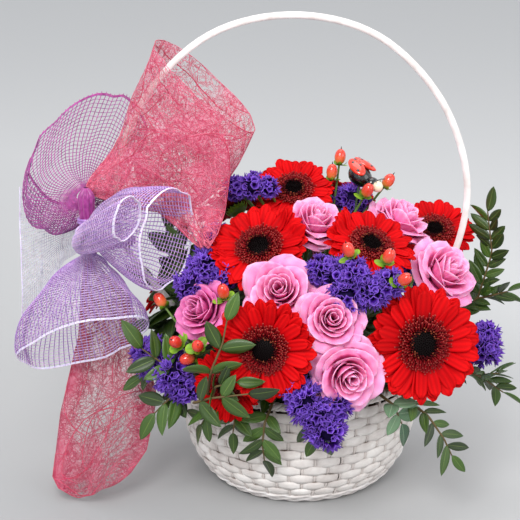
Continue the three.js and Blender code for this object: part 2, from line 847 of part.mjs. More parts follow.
// A free end of ribbon: a strip between stations of [middle, half width], wavy across its width
const TAILS = {
  mesh_lilac_tail: {
    stations: [
      [[-199, -16, 236], [0, 0, 8]],
      [[-226, 30, 226], [0, 4, 26]],
      [[-248, 36, 214], [2, 4, 52]],
      [[-268, 30, 206], [2, 2, 66]],
    ],
    wave: 4,
    colour: COLOURS.lilacMesh,
  },
  coral_web_tail: {
    stations: [
      [[-197, -16, 214], [5, 0, 0]],
      [[-186, 4, 176], [22, 0, -2]],
      [[-180, 0, 128], [32, 0, -6]],
      [[-182, -34, 76], [46, 0, 8]],
      [[-188, -72, 34], [44, 0, 14]],
      [[-194, -92, 12], [26, 0, 4]],
    ],
    wave: 7,
    colour: COLOURS.coralWeb,
  },
};
const TAIL_COLUMNS = 6;

function ribbonTail({ stations, wave }) {
  const along = stations.length - 1;
  return thinSheet(along, TAIL_COLUMNS, false, (u, v, side) => {
    const i = Math.round(u * along);
    const [middle, half] = stations[i].map((place) => new THREE.Vector3(...place));
    const before = new THREE.Vector3(...stations[Math.max(0, i - 1)][0]);
    const after = new THREE.Vector3(...stations[Math.min(along, i + 1)][0]);
    const normal = after.sub(before).cross(half).normalize();
    const ripple = wave * Math.sin(Math.PI * (2 * v - 1)) * (i / along);
    return middle.addScaledVector(half, 2 * v - 1).addScaledVector(normal, ripple + side * RIBBON);
  });
}

// Scene graph

const material = (colour, roughness = 0.6) =>
  new THREE.MeshStandardMaterial({ color: colour, roughness, metalness: 0 });

function named(name, shape, colour, roughness) {
  const geometry = shape.isBufferGeometry ? shape : geometryOf(shape);
  const mesh = new THREE.Mesh(geometry, material(colour, roughness));
  mesh.name = name;
  return mesh;
}

const flowers = new THREE.Group();
for (const [name, flower] of Object.entries(GERBERAS)) {
  flowers.add(named(name, gerberaRays(flower), COLOURS.gerbera));
  flowers.add(named(name + "_heart", gerberaHeart(flower), COLOURS.gerberaHeart));
}
for (const [name, flower] of Object.entries(ROSES)) {
  flowers.add(named(name, rose(flower), name === "rose_front_left" ? COLOURS.deepRose : COLOURS.rose));
}
Object.entries(STATICE).forEach(([name, spray], i) => {
  flowers.add(named(name, statice(spray, 11 + i), COLOURS.statice));
});
for (const [name, spray] of Object.entries(HYPERICUM)) {
  flowers.add(named(name, hypericum(spray), COLOURS.berry, 0.3));
}
Object.entries(GREENERY).forEach(([name, spray], i) => {
  flowers.add(named(name, greenery(spray, 31 + i), COLOURS.leaf));
});
flowers.add(named("ladybird_pick", ladybird(), COLOURS.ladybird, 0.2));

const basket = new THREE.Group();
basket.add(
  named("basket_wall", basketWall(), COLOURS.paintedSplint),
  named("basket_rim", basketRim(), COLOURS.paintedSplint),
  named("basket_base", basketBase(), COLOURS.paintedSplint),
  named("basket_handle", handleBar(HANDLE.radius), COLOURS.paintedSplint, 0.4),
  named("basket_liner", liner(), COLOURS.clearFilm, 0.2),
  named("floral_foam", foam(), COLOURS.foam, 0.9),
);

const bow = new THREE.Group();
const clearance = tie(2 * GAP).add(solidOf(handleBar(HANDLE.radius + 2 * GAP)));
bow.add(named("bow_tie", tie(0), COLOURS.magentaMesh));
for (const [name, loop] of Object.entries(LOOPS)) {
  bow.add(named(name, ribbonLoop(loop).subtract(clearance), loop.colour));
}
for (const [name, tail] of Object.entries(TAILS)) {
  bow.add(named(name, ribbonTail(tail).subtract(clearance), tail.colour));
}

const arrangement = new THREE.Group();
arrangement.add(basket, flowers, bow);

export default arrangement;
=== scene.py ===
# %% [markdown]
# # Flower basket arrangement
# The solid model already says where every bloom, ribbon and splint goes. This script dresses it: each
# plain solid is replaced by the real thing's own parts, such as single petals, florets, threads and
# splints, made at their real sizes in millimetres and put exactly where the solid stands.

# %% Load the frame
import math
import random

import bmesh
import bpy
from mathutils import Matrix, Vector, noise


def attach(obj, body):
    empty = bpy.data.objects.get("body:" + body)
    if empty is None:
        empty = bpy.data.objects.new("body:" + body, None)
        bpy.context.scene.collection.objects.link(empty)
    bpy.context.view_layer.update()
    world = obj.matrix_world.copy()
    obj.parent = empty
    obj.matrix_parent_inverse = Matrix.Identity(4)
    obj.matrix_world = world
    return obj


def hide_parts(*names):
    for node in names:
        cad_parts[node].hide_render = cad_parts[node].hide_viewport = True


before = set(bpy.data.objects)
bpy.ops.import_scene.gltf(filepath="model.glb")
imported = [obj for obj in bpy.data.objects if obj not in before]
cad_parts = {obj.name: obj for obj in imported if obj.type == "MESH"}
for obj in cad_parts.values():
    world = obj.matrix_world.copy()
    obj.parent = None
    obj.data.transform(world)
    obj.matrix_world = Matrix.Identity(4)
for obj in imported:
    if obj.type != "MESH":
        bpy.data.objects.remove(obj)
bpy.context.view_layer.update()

# %% [markdown]
# All sizes below are millimetres, and a finished piece is scaled to metres once. Directions are given
# the way a florist would: a turn round the basket, and a lift above the table.

# %% Small helpers for places and directions
MM = 0.001


def polar(radius, turn, z=0.0):
    """The place at a radius, a turn in radians and a height."""
    return Vector((radius * math.cos(turn), radius * math.sin(turn), z))


def direction(turn, lift):
    """The unit vector of a turn from +X and a lift above the ground, in degrees."""
    level = math.cos(math.radians(lift))
    return Vector((level * math.cos(math.radians(turn)), level * math.sin(math.radians(turn)),
                   math.sin(math.radians(lift))))


def posed(at, outward, hint=Vector((0, 0, 1))):
    """The placement whose own +Z looks along outward, with its +X level."""
    side = hint.cross(outward).normalized()
    pose = Matrix((side, outward.cross(side), outward)).transposed().to_4x4()
    pose.translation = at
    return pose


def head_pose(flower):
    """The placement of a bloom's head, with the way that it faces as its +Z."""
    return posed(Vector(flower["at"]), direction(*flower["facing"]))


def smoothstep(low, high, value):
    """A share that eases from 0 at low to 1 at high."""
    share = min(1.0, max(0.0, (value - low) / (high - low)))
    return share * share * (3 - 2 * share)


# %% [markdown]
# ## Camera and light
# The photograph was taken from a little above with a long lens, so near and far blooms are almost the
# same size. Three large soft lamps, a pale sky and a paper floor give the even light of a product picture.

# %% Camera
IMAGE_AIM = Vector((-0.038, 0, 0.21))  # metres, as everything about the camera and the lamps
CAMERA_DISTANCE = 1.4
CAMERA_LIFT = 19  # degrees
LENS_MM = 102.9
SENSOR_MM = 36

camera = bpy.data.objects.new("camera", bpy.data.cameras.new("camera"))
camera.data.lens = LENS_MM
camera.data.sensor_width = SENSOR_MM
camera.location = IMAGE_AIM + CAMERA_DISTANCE * direction(-90, CAMERA_LIFT)
camera.rotation_euler = (IMAGE_AIM - camera.location).to_track_quat("-Z", "Y").to_euler()
bpy.context.scene.collection.objects.link(camera)
bpy.context.scene.camera = camera
print("camera at", tuple(round(value, 3) for value in camera.location))


# %% Lamps and sky
def soft_lamp(name, place, aim, size, power):
    """A round lamp of a size in metres and a power in watts, turned to its aim."""
    lamp = bpy.data.objects.new(name, bpy.data.lights.new(name, "AREA"))
    lamp.data.shape = "DISK"
    lamp.data.size = size
    lamp.data.energy = power
    lamp.location = place
    lamp.rotation_euler = (Vector(aim) - lamp.location).to_track_quat("-Z", "Y").to_euler()
    bpy.context.scene.collection.objects.link(lamp)


soft_lamp("key", Vector((-0.35, -1.45, 1.5)), (0, 0, 0.15), 1.0, 30)
soft_lamp("fill", Vector((1.5, -0.9, 0.9)), (0, 0, 0.2), 1.4, 8)
soft_lamp("top", Vector((0.1, 0.3, 1.9)), (0, 0, 0.1), 1.4, 10)
bpy.context.scene.view_settings.view_transform = "Standard"  # keeps the deep reds of the photograph

world = bpy.data.worlds.new("studio")
world.use_nodes = True
sky = world.node_tree.nodes["Background"].inputs
sky["Color"].default_value = (0.8, 0.82, 0.85, 1)
sky["Strength"].default_value = 1.05
bpy.context.scene.world = world
print("lamps", len(bpy.data.lights))

# %% [markdown]
# ## Materials
# Every finish is a small tree of nodes. Colours are written as the hex values that a picture program
# shows, and one function turns them to the linear values that light is counted in. Another function
# adds a node with its settings and links, so that each material reads as a list of steps.


# %% Colour and node helpers
def linear(hex_colour):
    """The linear colour of an sRGB hex value."""
    shares = [int(hex_colour[i:i + 2], 16) / 255 for i in (1, 3, 5)]
    return (*[s / 12.92 if s <= 0.04045 else ((s + 0.055) / 1.055) ** 2.4 for s in shares], 1.0)


def socket_value(value):
    """A value as a socket takes it: a hex colour is made linear, and a number stays."""
    return linear(value) if isinstance(value, str) else value


def new_material(name, **sockets):
    """A material whose principled shader starts from the given sockets."""
    material = bpy.data.materials.new(name)
    material.use_nodes = True
    shader = material.node_tree.nodes["Principled BSDF"]
    for socket, value in sockets.items():
        shader.inputs[socket.replace("_", " ")].default_value = socket_value(value)
    return material


def add(material, kind, inputs, out=0, to=None, **settings):
    """Adds a node and returns one of its outputs, which may go to a socket of the shader as well.

    An input is a number, a hex colour, or another node's output, which is linked."""
    tree = material.node_tree
    node = tree.nodes.new("ShaderNode" + kind)
    for name, value in settings.items():
        setattr(node, name, value)
    for name, value in inputs.items():
        if isinstance(value, bpy.types.NodeSocket):
            tree.links.new(value, node.inputs[name])
        else:
            node.inputs[name].default_value = socket_value(value)
    if to:
        tree.links.new(node.outputs[out], tree.nodes["Principled BSDF"].inputs[to])
    return node.outputs[out]


# %% [markdown]
# Inputs are named, or numbered where the node's own order is short. A Map Range takes the value, its
# two ends and the two ends of the result. A Mix of colours takes the share first, and its two colours
# are the inputs 6 and 7, because the same node can also mix numbers and vectors.
#
# A petal, a leaf and a splint all have a pattern that follows the surface: grooves and veins run from
# base to tip. Each blade is therefore made with its own UV map, across and along, and a number called
# tone, which is different on every blade and lets neighbours differ a little in colour.

# %% A material that follows the blade
COLOURS = dict(out=2, data_type="RGBA")  # makes a Mix node mix colours


def blade_inputs(material):
    """The place across, the place along, and the tone of a blade, as outputs."""
    place = add(material, "UVMap", {}, uv_map="UVMap")
    axes = add(material, "SeparateXYZ", {0: place}).node.outputs
    return axes["X"], axes["Y"], add(material, "Attribute", {}, "Fac", attribute_name="tone")


def off_middle(material, across):
    """How far a place is from the blade's middle line, from 0 to 0.5."""
    centred = add(material, "Math", {0: across, 1: 0.5}, operation="SUBTRACT")
    return add(material, "Math", {0: centred}, operation="ABSOLUTE")


def petal_material(name, base, middle, tip, dark, ridges, roughness, glow, gloss=0.1, tip_from=0.5):
    """A petal's skin: a colour that runs from a darker base, partly painted shade, to the tip, and fine
    grooves along it with painted shade in their troughs.
    """
    material = new_material(name, Roughness=roughness, Specular_IOR_Level=gloss, Subsurface_Weight=glow,
                            Subsurface_Scale=0.002)
    across, along, tone = blade_inputs(material)
    # Towards the base the colour darkens: partly the petal's own deeper colour, partly painted shade deep in
    # the bloom.
    lower = add(material, "MapRange", {0: along, 1: 0.05, 2: 0.5})
    upper = add(material, "MapRange", {0: along, 1: tip_from, 2: 1})
    colour = add(material, "Mix", {0: lower, 6: base, 7: middle}, **COLOURS)
    colour = add(material, "Mix", {0: upper, 6: colour, 7: tip}, **COLOURS)
    wave = add(material, "Math", {0: across, 1: ridges * 2 * math.pi}, operation="MULTIPLY")
    ridge = add(material, "Math", {0: wave}, operation="SINE")
    # The troughs of the grooves get the dark colour as painted shade.
    groove_shade = add(material, "MapRange", {0: ridge, 1: -1, 2: 1, 3: 0.3, 4: 0})
    mottle = add(material, "MapRange", {0: tone, 1: 0, 2: 1, 3: 0.35, 4: 0})
    colour = add(material, "Mix", {0: groove_shade, 6: colour, 7: dark}, **COLOURS)
    add(material, "Mix", {0: mottle, 6: colour, 7: dark}, to="Base Color", **COLOURS)
    add(material, "Bump", {"Height": ridge, "Distance": 0.25 * MM, "Strength": 0.6}, to="Normal")
    return material


# %% [markdown]
# Gerbera rays are matt velvet red with two or three grooves. Rose petals are smoother, paler at the
# rolled edge and deeper towards the heart. The dark bases of rays and petals are partly painted shade,
# and the darker troughs of their grooves are painted shade. Statice is a dry papery violet, and leaves have a
# wax skin.

# %% Petals and florets
# name, base, middle, tip, groove shade and darker tone, number of grooves, roughness, glow
gerbera_petal = petal_material(
    "gerbera ray petal", "#4a0105", "#cc030a", "#e20f12", "#6a0004", 2.5, 0.6, 0.05, 0.06)
gerbera_frill = petal_material(
    "gerbera inner floret", "#44040a", "#80060e", "#cc5a50", "#420208", 1, 0.6, 0.05, tip_from=0.8)
gerbera_disc = petal_material(
    "gerbera disc floret", "#0c0203", "#1d0607", "#33100c", "#050101", 1, 0.55, 0.0)
pollen = petal_material(
    "gerbera pollen tip", "#a85a3a", "#d89878", "#f0d0b8", "#8a3a2a", 1, 0.7, 0.0)
rose_petal = petal_material(
    "rose petal", "#b81a68", "#f87cba", "#ffc0e2", "#e05c9e", 5, 0.45, 0.2)
deep_rose_petal = petal_material(
    "deep rose petal", "#a81c6c", "#e454a4", "#f898cc", "#a82a74", 5, 0.45, 0.15)
# The near black base of a statice funnel is painted shade deep in the funnel.
statice_paper = petal_material(
    "statice calyx", "#12042e", "#421488", "#8c62dc", "#170638", 2.5, 0.65, 0.06, tip_from=0.6)
# A near black violet for the ball inside each clump: painted shade among the florets.
statice_shade_core = petal_material(
    "painted shade in a statice clump", "#1a0c3c", "#24104f", "#2c1660", "#10062a", 1, 0.8, 0.0)
sepal_green = petal_material(
    "green calyx", "#56801c", "#84b024", "#a4c832", "#4a6a1c", 2, 0.5, 0.1, 0.3)

# %% [markdown]
# A leaf's side veins slant from the rib to the tip. A sine of the place along, less the place aside,
# gives lines at that slant, and the rib is a narrow band in the middle.

# %% Leaves and stems
VEINS = 62.0  # as an angle over the leaf's length, so about ten veins on each side


def leaf_material(name, dark, light, rib, roughness):
    """A waxed leaf with a pale midrib and side veins that slant to the tip."""
    material = new_material(name, Roughness=roughness, Coat_Weight=0.12, Coat_Roughness=0.3,
                            Subsurface_Weight=0.06, Subsurface_Scale=0.001)
    across, along, tone = blade_inputs(material)
    aside = off_middle(material, across)
    slant = add(material, "Math", {0: aside, 1: -1.1, 2: along}, operation="MULTIPLY_ADD")
    wave = add(material, "Math", {0: slant, 1: VEINS}, operation="MULTIPLY")
    vein = add(material, "Math", {0: wave}, operation="SINE")
    veins = add(material, "MapRange", {0: vein, 1: 0.75, 2: 1})
    midrib = add(material, "MapRange", {0: aside, 1: 0.035, 2: 0.015})
    lines = add(material, "Math", {0: veins, 1: 0.35, 2: midrib}, operation="MULTIPLY_ADD")
    body = add(material, "Mix", {0: tone, 6: dark, 7: light}, **COLOURS)
    paler = add(material, "MapRange", {0: lines, 1: 0, 2: 1, 3: 0, 4: 0.5})
    add(material, "Mix", {0: paler, 6: body, 7: rib}, to="Base Color", **COLOURS)
    add(material, "Bump", {"Height": lines, "Distance": 0.3 * MM, "Strength": 0.5}, to="Normal")
    return material


leaf_skin = leaf_material("waxed leaf", "#182a08", "#40601a", "#7c9444", 0.4)
sage_leaf = leaf_material("sage green leaf", "#3a5c42", "#86a880", "#b4ccaa", 0.5)

sprig_wood = new_material("woody sprig stem", Roughness=0.6, Base_Color="#5c4a26")
stem_skin = new_material("green stem skin", Roughness=0.5)
place = add(stem_skin, "TexCoord", {}, "Object")
streaks = add(stem_skin, "TexNoise", {"Vector": place, "Scale": 120, "Detail": 3})  # about 8 mm long
add(stem_skin, "Mix", {0: streaks, 6: "#3f5c22", 7: "#7d9a48"}, to="Base Color", **COLOURS)

# %% [markdown]
# A hypericum berry is a glossy skin that ripens from pale orange at the calyx to red at the tip. The
# foam is phenolic, with open cells under a millimetre wide, and the film that lines the basket is clear.

# %% Berries, foam and film
berry_skin = new_material("hypericum berry skin", Roughness=0.22, Coat_Weight=0.6, Coat_Roughness=0.1,
                          Subsurface_Weight=0.15, Subsurface_Scale=0.003)
_, along, tone = blade_inputs(berry_skin)
ripening = add(berry_skin, "MapRange", {0: along, 1: 0.1, 2: 0.6})
ripe = add(berry_skin, "Mix", {0: ripening, 6: "#f39a55", 7: "#e03a22"}, **COLOURS)
darker = add(berry_skin, "MapRange", {0: tone, 1: 0, 2: 1, 3: 0, 4: 0.5})
add(berry_skin, "Mix", {0: darker, 6: ripe, 7: "#b81f18"}, to="Base Color", **COLOURS)

foam_skin = new_material("wet phenolic foam", Roughness=0.95)
place = add(foam_skin, "TexCoord", {}, "Object")
cells = add(foam_skin, "TexNoise", {"Vector": place, "Scale": 1400, "Detail": 4})  # cells of 0.7 mm
add(foam_skin, "Mix", {0: cells, 6: "#1f3320", 7: "#3d5c38"}, to="Base Color", **COLOURS)
add(foam_skin, "Bump", {"Height": cells, "Distance": 0.8 * MM}, to="Normal")

film = new_material("clear film", Roughness=0.15, Alpha=0.3, Base_Color="#d4dcda")

# %% [markdown]
# The basket is willow split flat, woven, and brushed with white emulsion. The brush misses the gaps
# beside the stakes, so the edges of the splints stay brown, and the grain shows through the paint.


# %% White painted willow
def painted_willow(name, paint, wood, follow_blade):
    """White emulsion on willow. On a blade, the edges are bare in places and the grain shows."""
    material = new_material(name, Roughness=0.62, Diffuse_Roughness=0.4)
    place = add(material, "TexCoord", {}, "Object")
    cloudy = add(material, "TexNoise", {"Vector": place, "Scale": 55, "Detail": 5})  # stains of 18 mm
    stained = add(material, "MapRange", {0: cloudy, 1: 0.35, 2: 0.7})
    coat = add(material, "Mix", {0: stained, 6: paint, 7: "#d6cdc8"}, to="Base Color", **COLOURS)
    if not follow_blade:
        brushed = add(material, "TexNoise", {"Vector": place, "Scale": 900, "Detail": 3})  # marks of 1 mm
        add(material, "Bump", {"Height": brushed, "Distance": 0.2 * MM, "Strength": 0.5}, to="Normal")
        return material
    across, along, _ = blade_inputs(material)
    fibres_across = add(material, "MapRange", {0: across, 1: 0, 2: 1, 3: 0, 4: 9})
    fibres_along = add(material, "MapRange", {0: along, 1: 0, 2: 1, 3: 0, 4: 30})
    stretched = add(material, "CombineXYZ", {"X": fibres_across, "Y": fibres_along})
    grain = add(material, "TexNoise", {"Vector": stretched, "Scale": 3, "Detail": 4, "Roughness": 0.7})
    worn = add(material, "Math", {0: off_middle(material, across), 1: cloudy}, operation="MULTIPLY")
    bare = add(material, "MapRange", {0: worn, 1: 0.27, 2: 0.33})
    coat = add(material, "Mix", {0: bare, 6: coat, 7: wood}, **COLOURS)
    shown = add(material, "MapRange", {0: grain, 1: 0.55, 2: 0.8, 3: 0, 4: 0.4})
    add(material, "Mix", {0: shown, 6: coat, 7: "#b9aca4"}, to="Base Color", **COLOURS)
    add(material, "Bump", {"Height": grain, "Distance": 0.35 * MM, "Strength": 0.7}, to="Normal")
    return material


willow_splint = painted_willow("painted willow splint", "#f3eeea", "#6b5645", True)
# The stakes get a darker copy of the same paint and wood: painted shade in the ticks where a stake shows.
shaded_willow_stake = painted_willow("painted willow stake, shaded", "#ddd3cd", "#4a3828", True)
cane_paint = painted_willow("painted cane", "#f4f0ee", "#5b4633", False)
# Near black brown: painted shade behind the weave, seen between the rows, and the real colour of a berry's
# dry style.
shade_and_style_brown = new_material("painted gap shade and brown berry style", Roughness=0.9, Base_Color="#3d2f24")

# %% [markdown]
# The bow is woven plastic mesh: stiff shiny threads three to four millimetres apart. The web is
# different: fine fibres laid in all directions and pressed to a veil, so it has no threads to follow.


# %% Mesh threads and web fibres
def thread_material(name, dark, light):
    """A drawn plastic thread: a satin gloss, with the colour drifting from thread to thread."""
    material = new_material(name, Roughness=0.38, Sheen_Weight=0.3, Subsurface_Weight=0.1,
                            Subsurface_Scale=0.001)
    place = add(material, "TexCoord", {}, "Object")
    drift = add(material, "TexNoise", {"Vector": place, "Scale": 240, "Detail": 2})  # 4 mm, a thread's pitch
    share = add(material, "MapRange", {0: drift, 1: 0.3, 2: 0.7})
    add(material, "Mix", {0: share, 6: dark, 7: light}, to="Base Color", **COLOURS)
    return material


magenta_thread = thread_material("magenta mesh thread", "#861c70", "#b04494")
magenta_weft = thread_material("magenta mesh weft", "#6c2c6c", "#a460a0")
lilac_thread = thread_material("lilac mesh thread", "#8a5cae", "#b486ca")
lilac_weft = thread_material("pale lilac mesh weft", "#ba94cc", "#e8ccee")
sheer_thread = thread_material("sheer pale mesh thread", "#bdb8c8", "#e2dfe8")
white_edge = thread_material("white selvedge thread", "#e4d2f2", "#f8f0ff")
coral_fibre = thread_material("coral web fibre", "#bc2c50", "#ee7c98")
coral_bundle = thread_material("coral web fibre bundle", "#a81c3e", "#cc3c60")
deep_fibre = thread_material("deep coral web fibre", "#94203c", "#c4506c")

# %% [markdown]
# The veil itself could be thousands of hairs, but they would be too many to carry. A Voronoi pattern's
# cell edges, bent by a noise, look like pressed fibres at three sizes, and between them the veil is
# see-through. Real fibres are laid on top of it later, so that its nearest layer is a true shape.

# %% Web veil
# cells per metre, so they are 17, 8 and 4 mm wide, and how thick their edges are
VEIL_CELLS = ((60, 0.03), (120, 0.045), (260, 0.06))


def veil_material(name, deep, pale, edges=0.0):
    """A pressed web: a see-through veil crossed by fibres, drawn as the edges of crumpled cells.

    The veil of an open strip is folded under at its edges, so it is closer there."""
    material = new_material(name, Roughness=0.6, Sheen_Weight=0.2)
    place = add(material, "TexCoord", {}, "Object")
    crumple = add(material, "TexNoise", {"Vector": place, "Scale": 38, "Detail": 3}, "Color")
    bent = add(material, "VectorMath", {0: crumple, 1: (0.05, 0.05, 0.05), 2: place},
               operation="MULTIPLY_ADD")
    fibres = None
    for cells_per_metre, thick in VEIL_CELLS:
        edge = add(material, "TexVoronoi", {"Vector": bent, "Scale": cells_per_metre}, "Distance",
                   feature="DISTANCE_TO_EDGE")
        line = add(material, "MapRange", {0: edge, 1: thick, 2: thick * 0.4})
        fibres = add(material, "Math", {0: fibres, 1: line}, operation="MAXIMUM") if fibres else line
    cloud = add(material, "TexNoise", {"Vector": place, "Scale": 20, "Detail": 4, "Roughness": 0.6})
    veil = add(material, "MapRange", {0: cloud, 1: 0.46, 2: 0.62, 3: 0, 4: 0.3})
    aside = off_middle(material, blade_inputs(material)[0])
    folded = add(material, "MapRange", {0: aside, 1: 0.26, 2: 0.44, 3: 0, 4: edges})
    closer = add(material, "Math", {0: veil, 1: folded}, operation="ADD")
    add(material, "Math", {0: fibres, 1: 0.4, 2: closer}, to="Alpha", operation="MULTIPLY_ADD")
    add(material, "Mix", {0: fibres, 6: pale, 7: deep}, to="Base Color", **COLOURS)
    return material


coral_veil = veil_material("coral web veil", "#c02c56", "#f28aa6")
coral_strip_veil = veil_material("coral web strip veil", "#a02044", "#cc5c78", edges=0.4)

# %% [markdown]
# The ladybird is turned wood under thick lacquer, which is why its highlights are small and sharp.

# %% Ladybird materials
ladybird_red = new_material("red lacquered wing case", Roughness=0.2, Coat_Weight=0.8, Coat_Roughness=0.06,
                            Base_Color="#e5331a")
ladybird_black = new_material("black lacquer", Roughness=0.16, Coat_Weight=0.9, Coat_Roughness=0.05,
                              Base_Color="#0b0b0d")
ladybird_cream = new_material("cream wooden bead", Roughness=0.35, Coat_Weight=0.5, Base_Color="#f2dfc0")
pick_wire = new_material("green coated wire", Roughness=0.4, Base_Color="#2f4a24")
print("materials", len(bpy.data.materials))

# %% [markdown]
# ## Blades, strands and finished pieces
# Two kinds of shape make nearly everything here. A blade is a grid that a rule bends into a petal, a
# leaf or a splint. A strand is a thin round bar along a line of places, which Blender makes from a
# curve with a bevel. A finished piece gathers them in one mesh and hides the solid it stands for.


# %% Blades
def blade(bm, columns, rows, rule, slot=0, tone=0.5):
    """Adds a grid whose corners go where rule(across, along) puts them.

    across runs from -1 to 1 and along from 0 to 1."""
    uv = bm.loops.layers.uv.get("UVMap") or bm.loops.layers.uv.new("UVMap")
    tint = bm.verts.layers.float.get("tone") or bm.verts.layers.float.new("tone")
    corners = bmesh.ops.create_grid(bm, x_segments=columns, y_segments=rows, size=1.0)["verts"]
    shares = {corner: (corner.co.x, (corner.co.y + 1) / 2) for corner in corners}
    for face in {face for corner in corners for face in corner.link_faces}:
        face.material_index = slot
        face.smooth = True
        for loop in face.loops:
            across, along = shares[loop.vert]
            loop[uv].uv = ((across + 1) / 2, along)
    for corner, (across, along) in shares.items():
        corner.co = rule(across, along)
        corner[tint] = tone


# %% Strands
def smooth_new(bm, before, slot):
    """Gives the faces that a piece has gained a material slot, and shades them smooth."""
    bm.faces.ensure_lookup_table()
    for face in bm.faces[before:]:
        face.material_index = slot
        face.smooth = True


def strands(bm, lines, radius, slot=0, sides=1, closed=False, taper=None):
    """Adds round bars along lines of places. taper gives the share of the radius at each share of a line."""
    curve = bpy.data.curves.new("strand", "CURVE")
    curve.dimensions = "3D"
    curve.bevel_depth = radius
    curve.bevel_resolution = sides
    curve.use_fill_caps = not closed
    for line in lines:
        spline = curve.splines.new("POLY")
        spline.points.add(len(line) - 1)
        spline.points.foreach_set("co", [value for place in line for value in (*place, 1.0)])
        spline.points.foreach_set("radius", [taper(i / (len(line) - 1)) if taper else 1.0
                                             for i in range(len(line))])
        spline.use_cyclic_u = closed
    holder = bpy.data.objects.new("strand", curve)
    mesh = bpy.data.meshes.new_from_object(holder)
    before = len(bm.faces)
    bm.from_mesh(mesh)
    smooth_new(bm, before, slot)
    bpy.data.objects.remove(holder)
    bpy.data.curves.remove(curve)
    bpy.data.meshes.remove(mesh)


# %% Finished pieces
def finished(name, bm, materials, thickness=0.0, nodes=()):
    """Makes the piece, in metres, with a thickness in millimetres where its blades need one.

    materials are its finishes, and nodes are the solids that it stands for, which are hidden."""
    bmesh.ops.scale(bm, vec=(MM, MM, MM), verts=bm.verts)
    mesh = bpy.data.meshes.new(name)
    bm.to_mesh(mesh)
    bm.free()
    for material in materials:
        mesh.materials.append(material)
    piece = bpy.data.objects.new(name, mesh)
    bpy.context.scene.collection.objects.link(piece)
    if thickness:
        wall = piece.modifiers.new("thickness", "SOLIDIFY")
        wall.thickness = thickness * MM
        wall.offset = 0
    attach(piece, "root")
    if nodes:
        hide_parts(*nodes)
    return piece


# %% [markdown]
# A leaf is a blade with a fold along its rib. Its width follows a sine, which gives the lance shape of
# most florists' greens, and it droops a little towards its tip.


# %% Leaves
LEAF_FOLD = 0.25  # how steeply each half rises from the rib


def leaf(bm, pose, length, width, droop, tone, twist):
    """A leaf that grows along the pose's +X, with its upper face to +Z."""
    def rule(across, along):
        # slim at the base, widest before its middle, and closed to a point
        half = width / 2 * (0.04 + 0.96 * math.sin(math.pi * along ** 0.85) ** 0.8) if along < 1 else 0.0
        side = across * half
        lift = LEAF_FOLD * abs(side) - droop * length * along * along
        turn = twist * along
        return pose @ Vector((length * along, side * math.cos(turn) - lift * math.sin(turn),
                              lift * math.cos(turn) + side * math.sin(turn)))
    blade(bm, 4, 8, rule, 0, tone)


def leaf_pose(at, along, up):
    """The placement of a leaf from its base, its direction and its upper side."""
    along = along.normalized()
    side = up.cross(along).normalized()
    pose = Matrix((along, side, along.cross(side))).transposed().to_4x4()
    pose.translation = at
    return pose


# %% [markdown]
# ## Basket
# Fifty-six slim stakes stand round the wall. Ten rows of flat splint pass outside one stake and dive
# behind the next, and each row starts one stake further, so the long fields lie like bricks, with a dark
# tick where a stake shows; the stakes' darker paint is painted shade there. Thin rods are twined round the
# foot, and the rim is a plait of four rods.

# %% Sizes of the basket
FOOT_RADIUS = 79
FLARE = 34.5  # how much the wall opens, most of it in the first 25 mm
FLARE_HEIGHT = 25
FOOT_HEIGHT = 12
STAKES = 56
STAKE_HALF = 1.1
STAKE_LOW, STAKE_LENGTH = 3, 103
ROWS = 10
ROW_HEIGHT = 9.03
SPLINT_HALF = 4.7
SPLINT_CROWN = 0.9  # how far the middle of a splint stands out past its edges
OVER = 2.1  # how far a splint stands out over a stake
SUNK = 1.2  # how far the weave lies inside the wall's own line


def wall_radius(z):
    """The wall's outside at a height: a bowl that opens quickly at the foot."""
    return FOOT_RADIUS + FLARE * (1 - math.exp(-z / FLARE_HEIGHT))


def weave_side(turn, row):
    """From 1, where the splint of a row passes outside a stake, to -1, where it passes inside."""
    return math.cos(STAKES / 2 * turn + math.pi * row)


# %% Splints and stakes
def woven_wall():
    """Rows of splint over a ring of stakes."""
    bm = bmesh.new()
    chance = random.Random(3)
    for row in range(ROWS):
        middle = FOOT_HEIGHT + ROW_HEIGHT * (row + 0.5)
        drift = chance.random() * 9

        def splint(across, along):
            turn = 2 * math.pi * along
            side = weave_side(turn, row)
            dive = smoothstep(0.88, 1.0, -side)  # it dives only beside the stake that it passes behind
            tall = SPLINT_HALF + 0.3 * side - 0.9 * dive  # and it is pinched there
            wander = 0.9 * noise.noise(polar(3, turn, drift))  # no row is quite level
            z = middle + across * tall + wander
            crown = 1.0 - across * across
            bulge = OVER * (0.75 + 0.25 * side - 2.2 * dive)
            return polar(wall_radius(z) + bulge + SPLINT_CROWN * crown - SUNK, turn, z)
        blade(bm, 3, STAKES * 6, splint, 0, chance.random())
    for stake in range(STAKES):
        middle = 2 * math.pi * stake / STAKES
        lean = chance.uniform(-0.004, 0.004)

        def upright(across, along):
            z = STAKE_LOW + STAKE_LENGTH * along
            row = min(ROWS - 1, max(0, (z - FOOT_HEIGHT) / ROW_HEIGHT - 0.5))
            side = math.cos(math.pi * (stake + row))
            radius = wall_radius(z) - 1.5 * side - 0.6  # in behind a splint, and out where it shows
            return polar(radius, middle + lean + across * STAKE_HALF / wall_radius(z), z)
        blade(bm, 2, ROWS * 3, upright, 1, chance.random())
    bmesh.ops.remove_doubles(bm, verts=bm.verts, dist=0.001)
    finished("woven_wall", bm, [willow_splint, shaded_willow_stake], 1.1, ["basket_wall"])


woven_wall()
print("wall", ROWS, "rows of splint over", STAKES, "stakes")

# %% [markdown]
# Behind the weave the real wall is closed by the backs of the splints. A thin dark lining drum does
# the same here, so no daylight shows between the rows; its dark brown is painted shade in the gaps.

# %% Lining drum
LINING_MIDDLE, LINING_HALF = 52, 51
LINING_GAP = 4.4


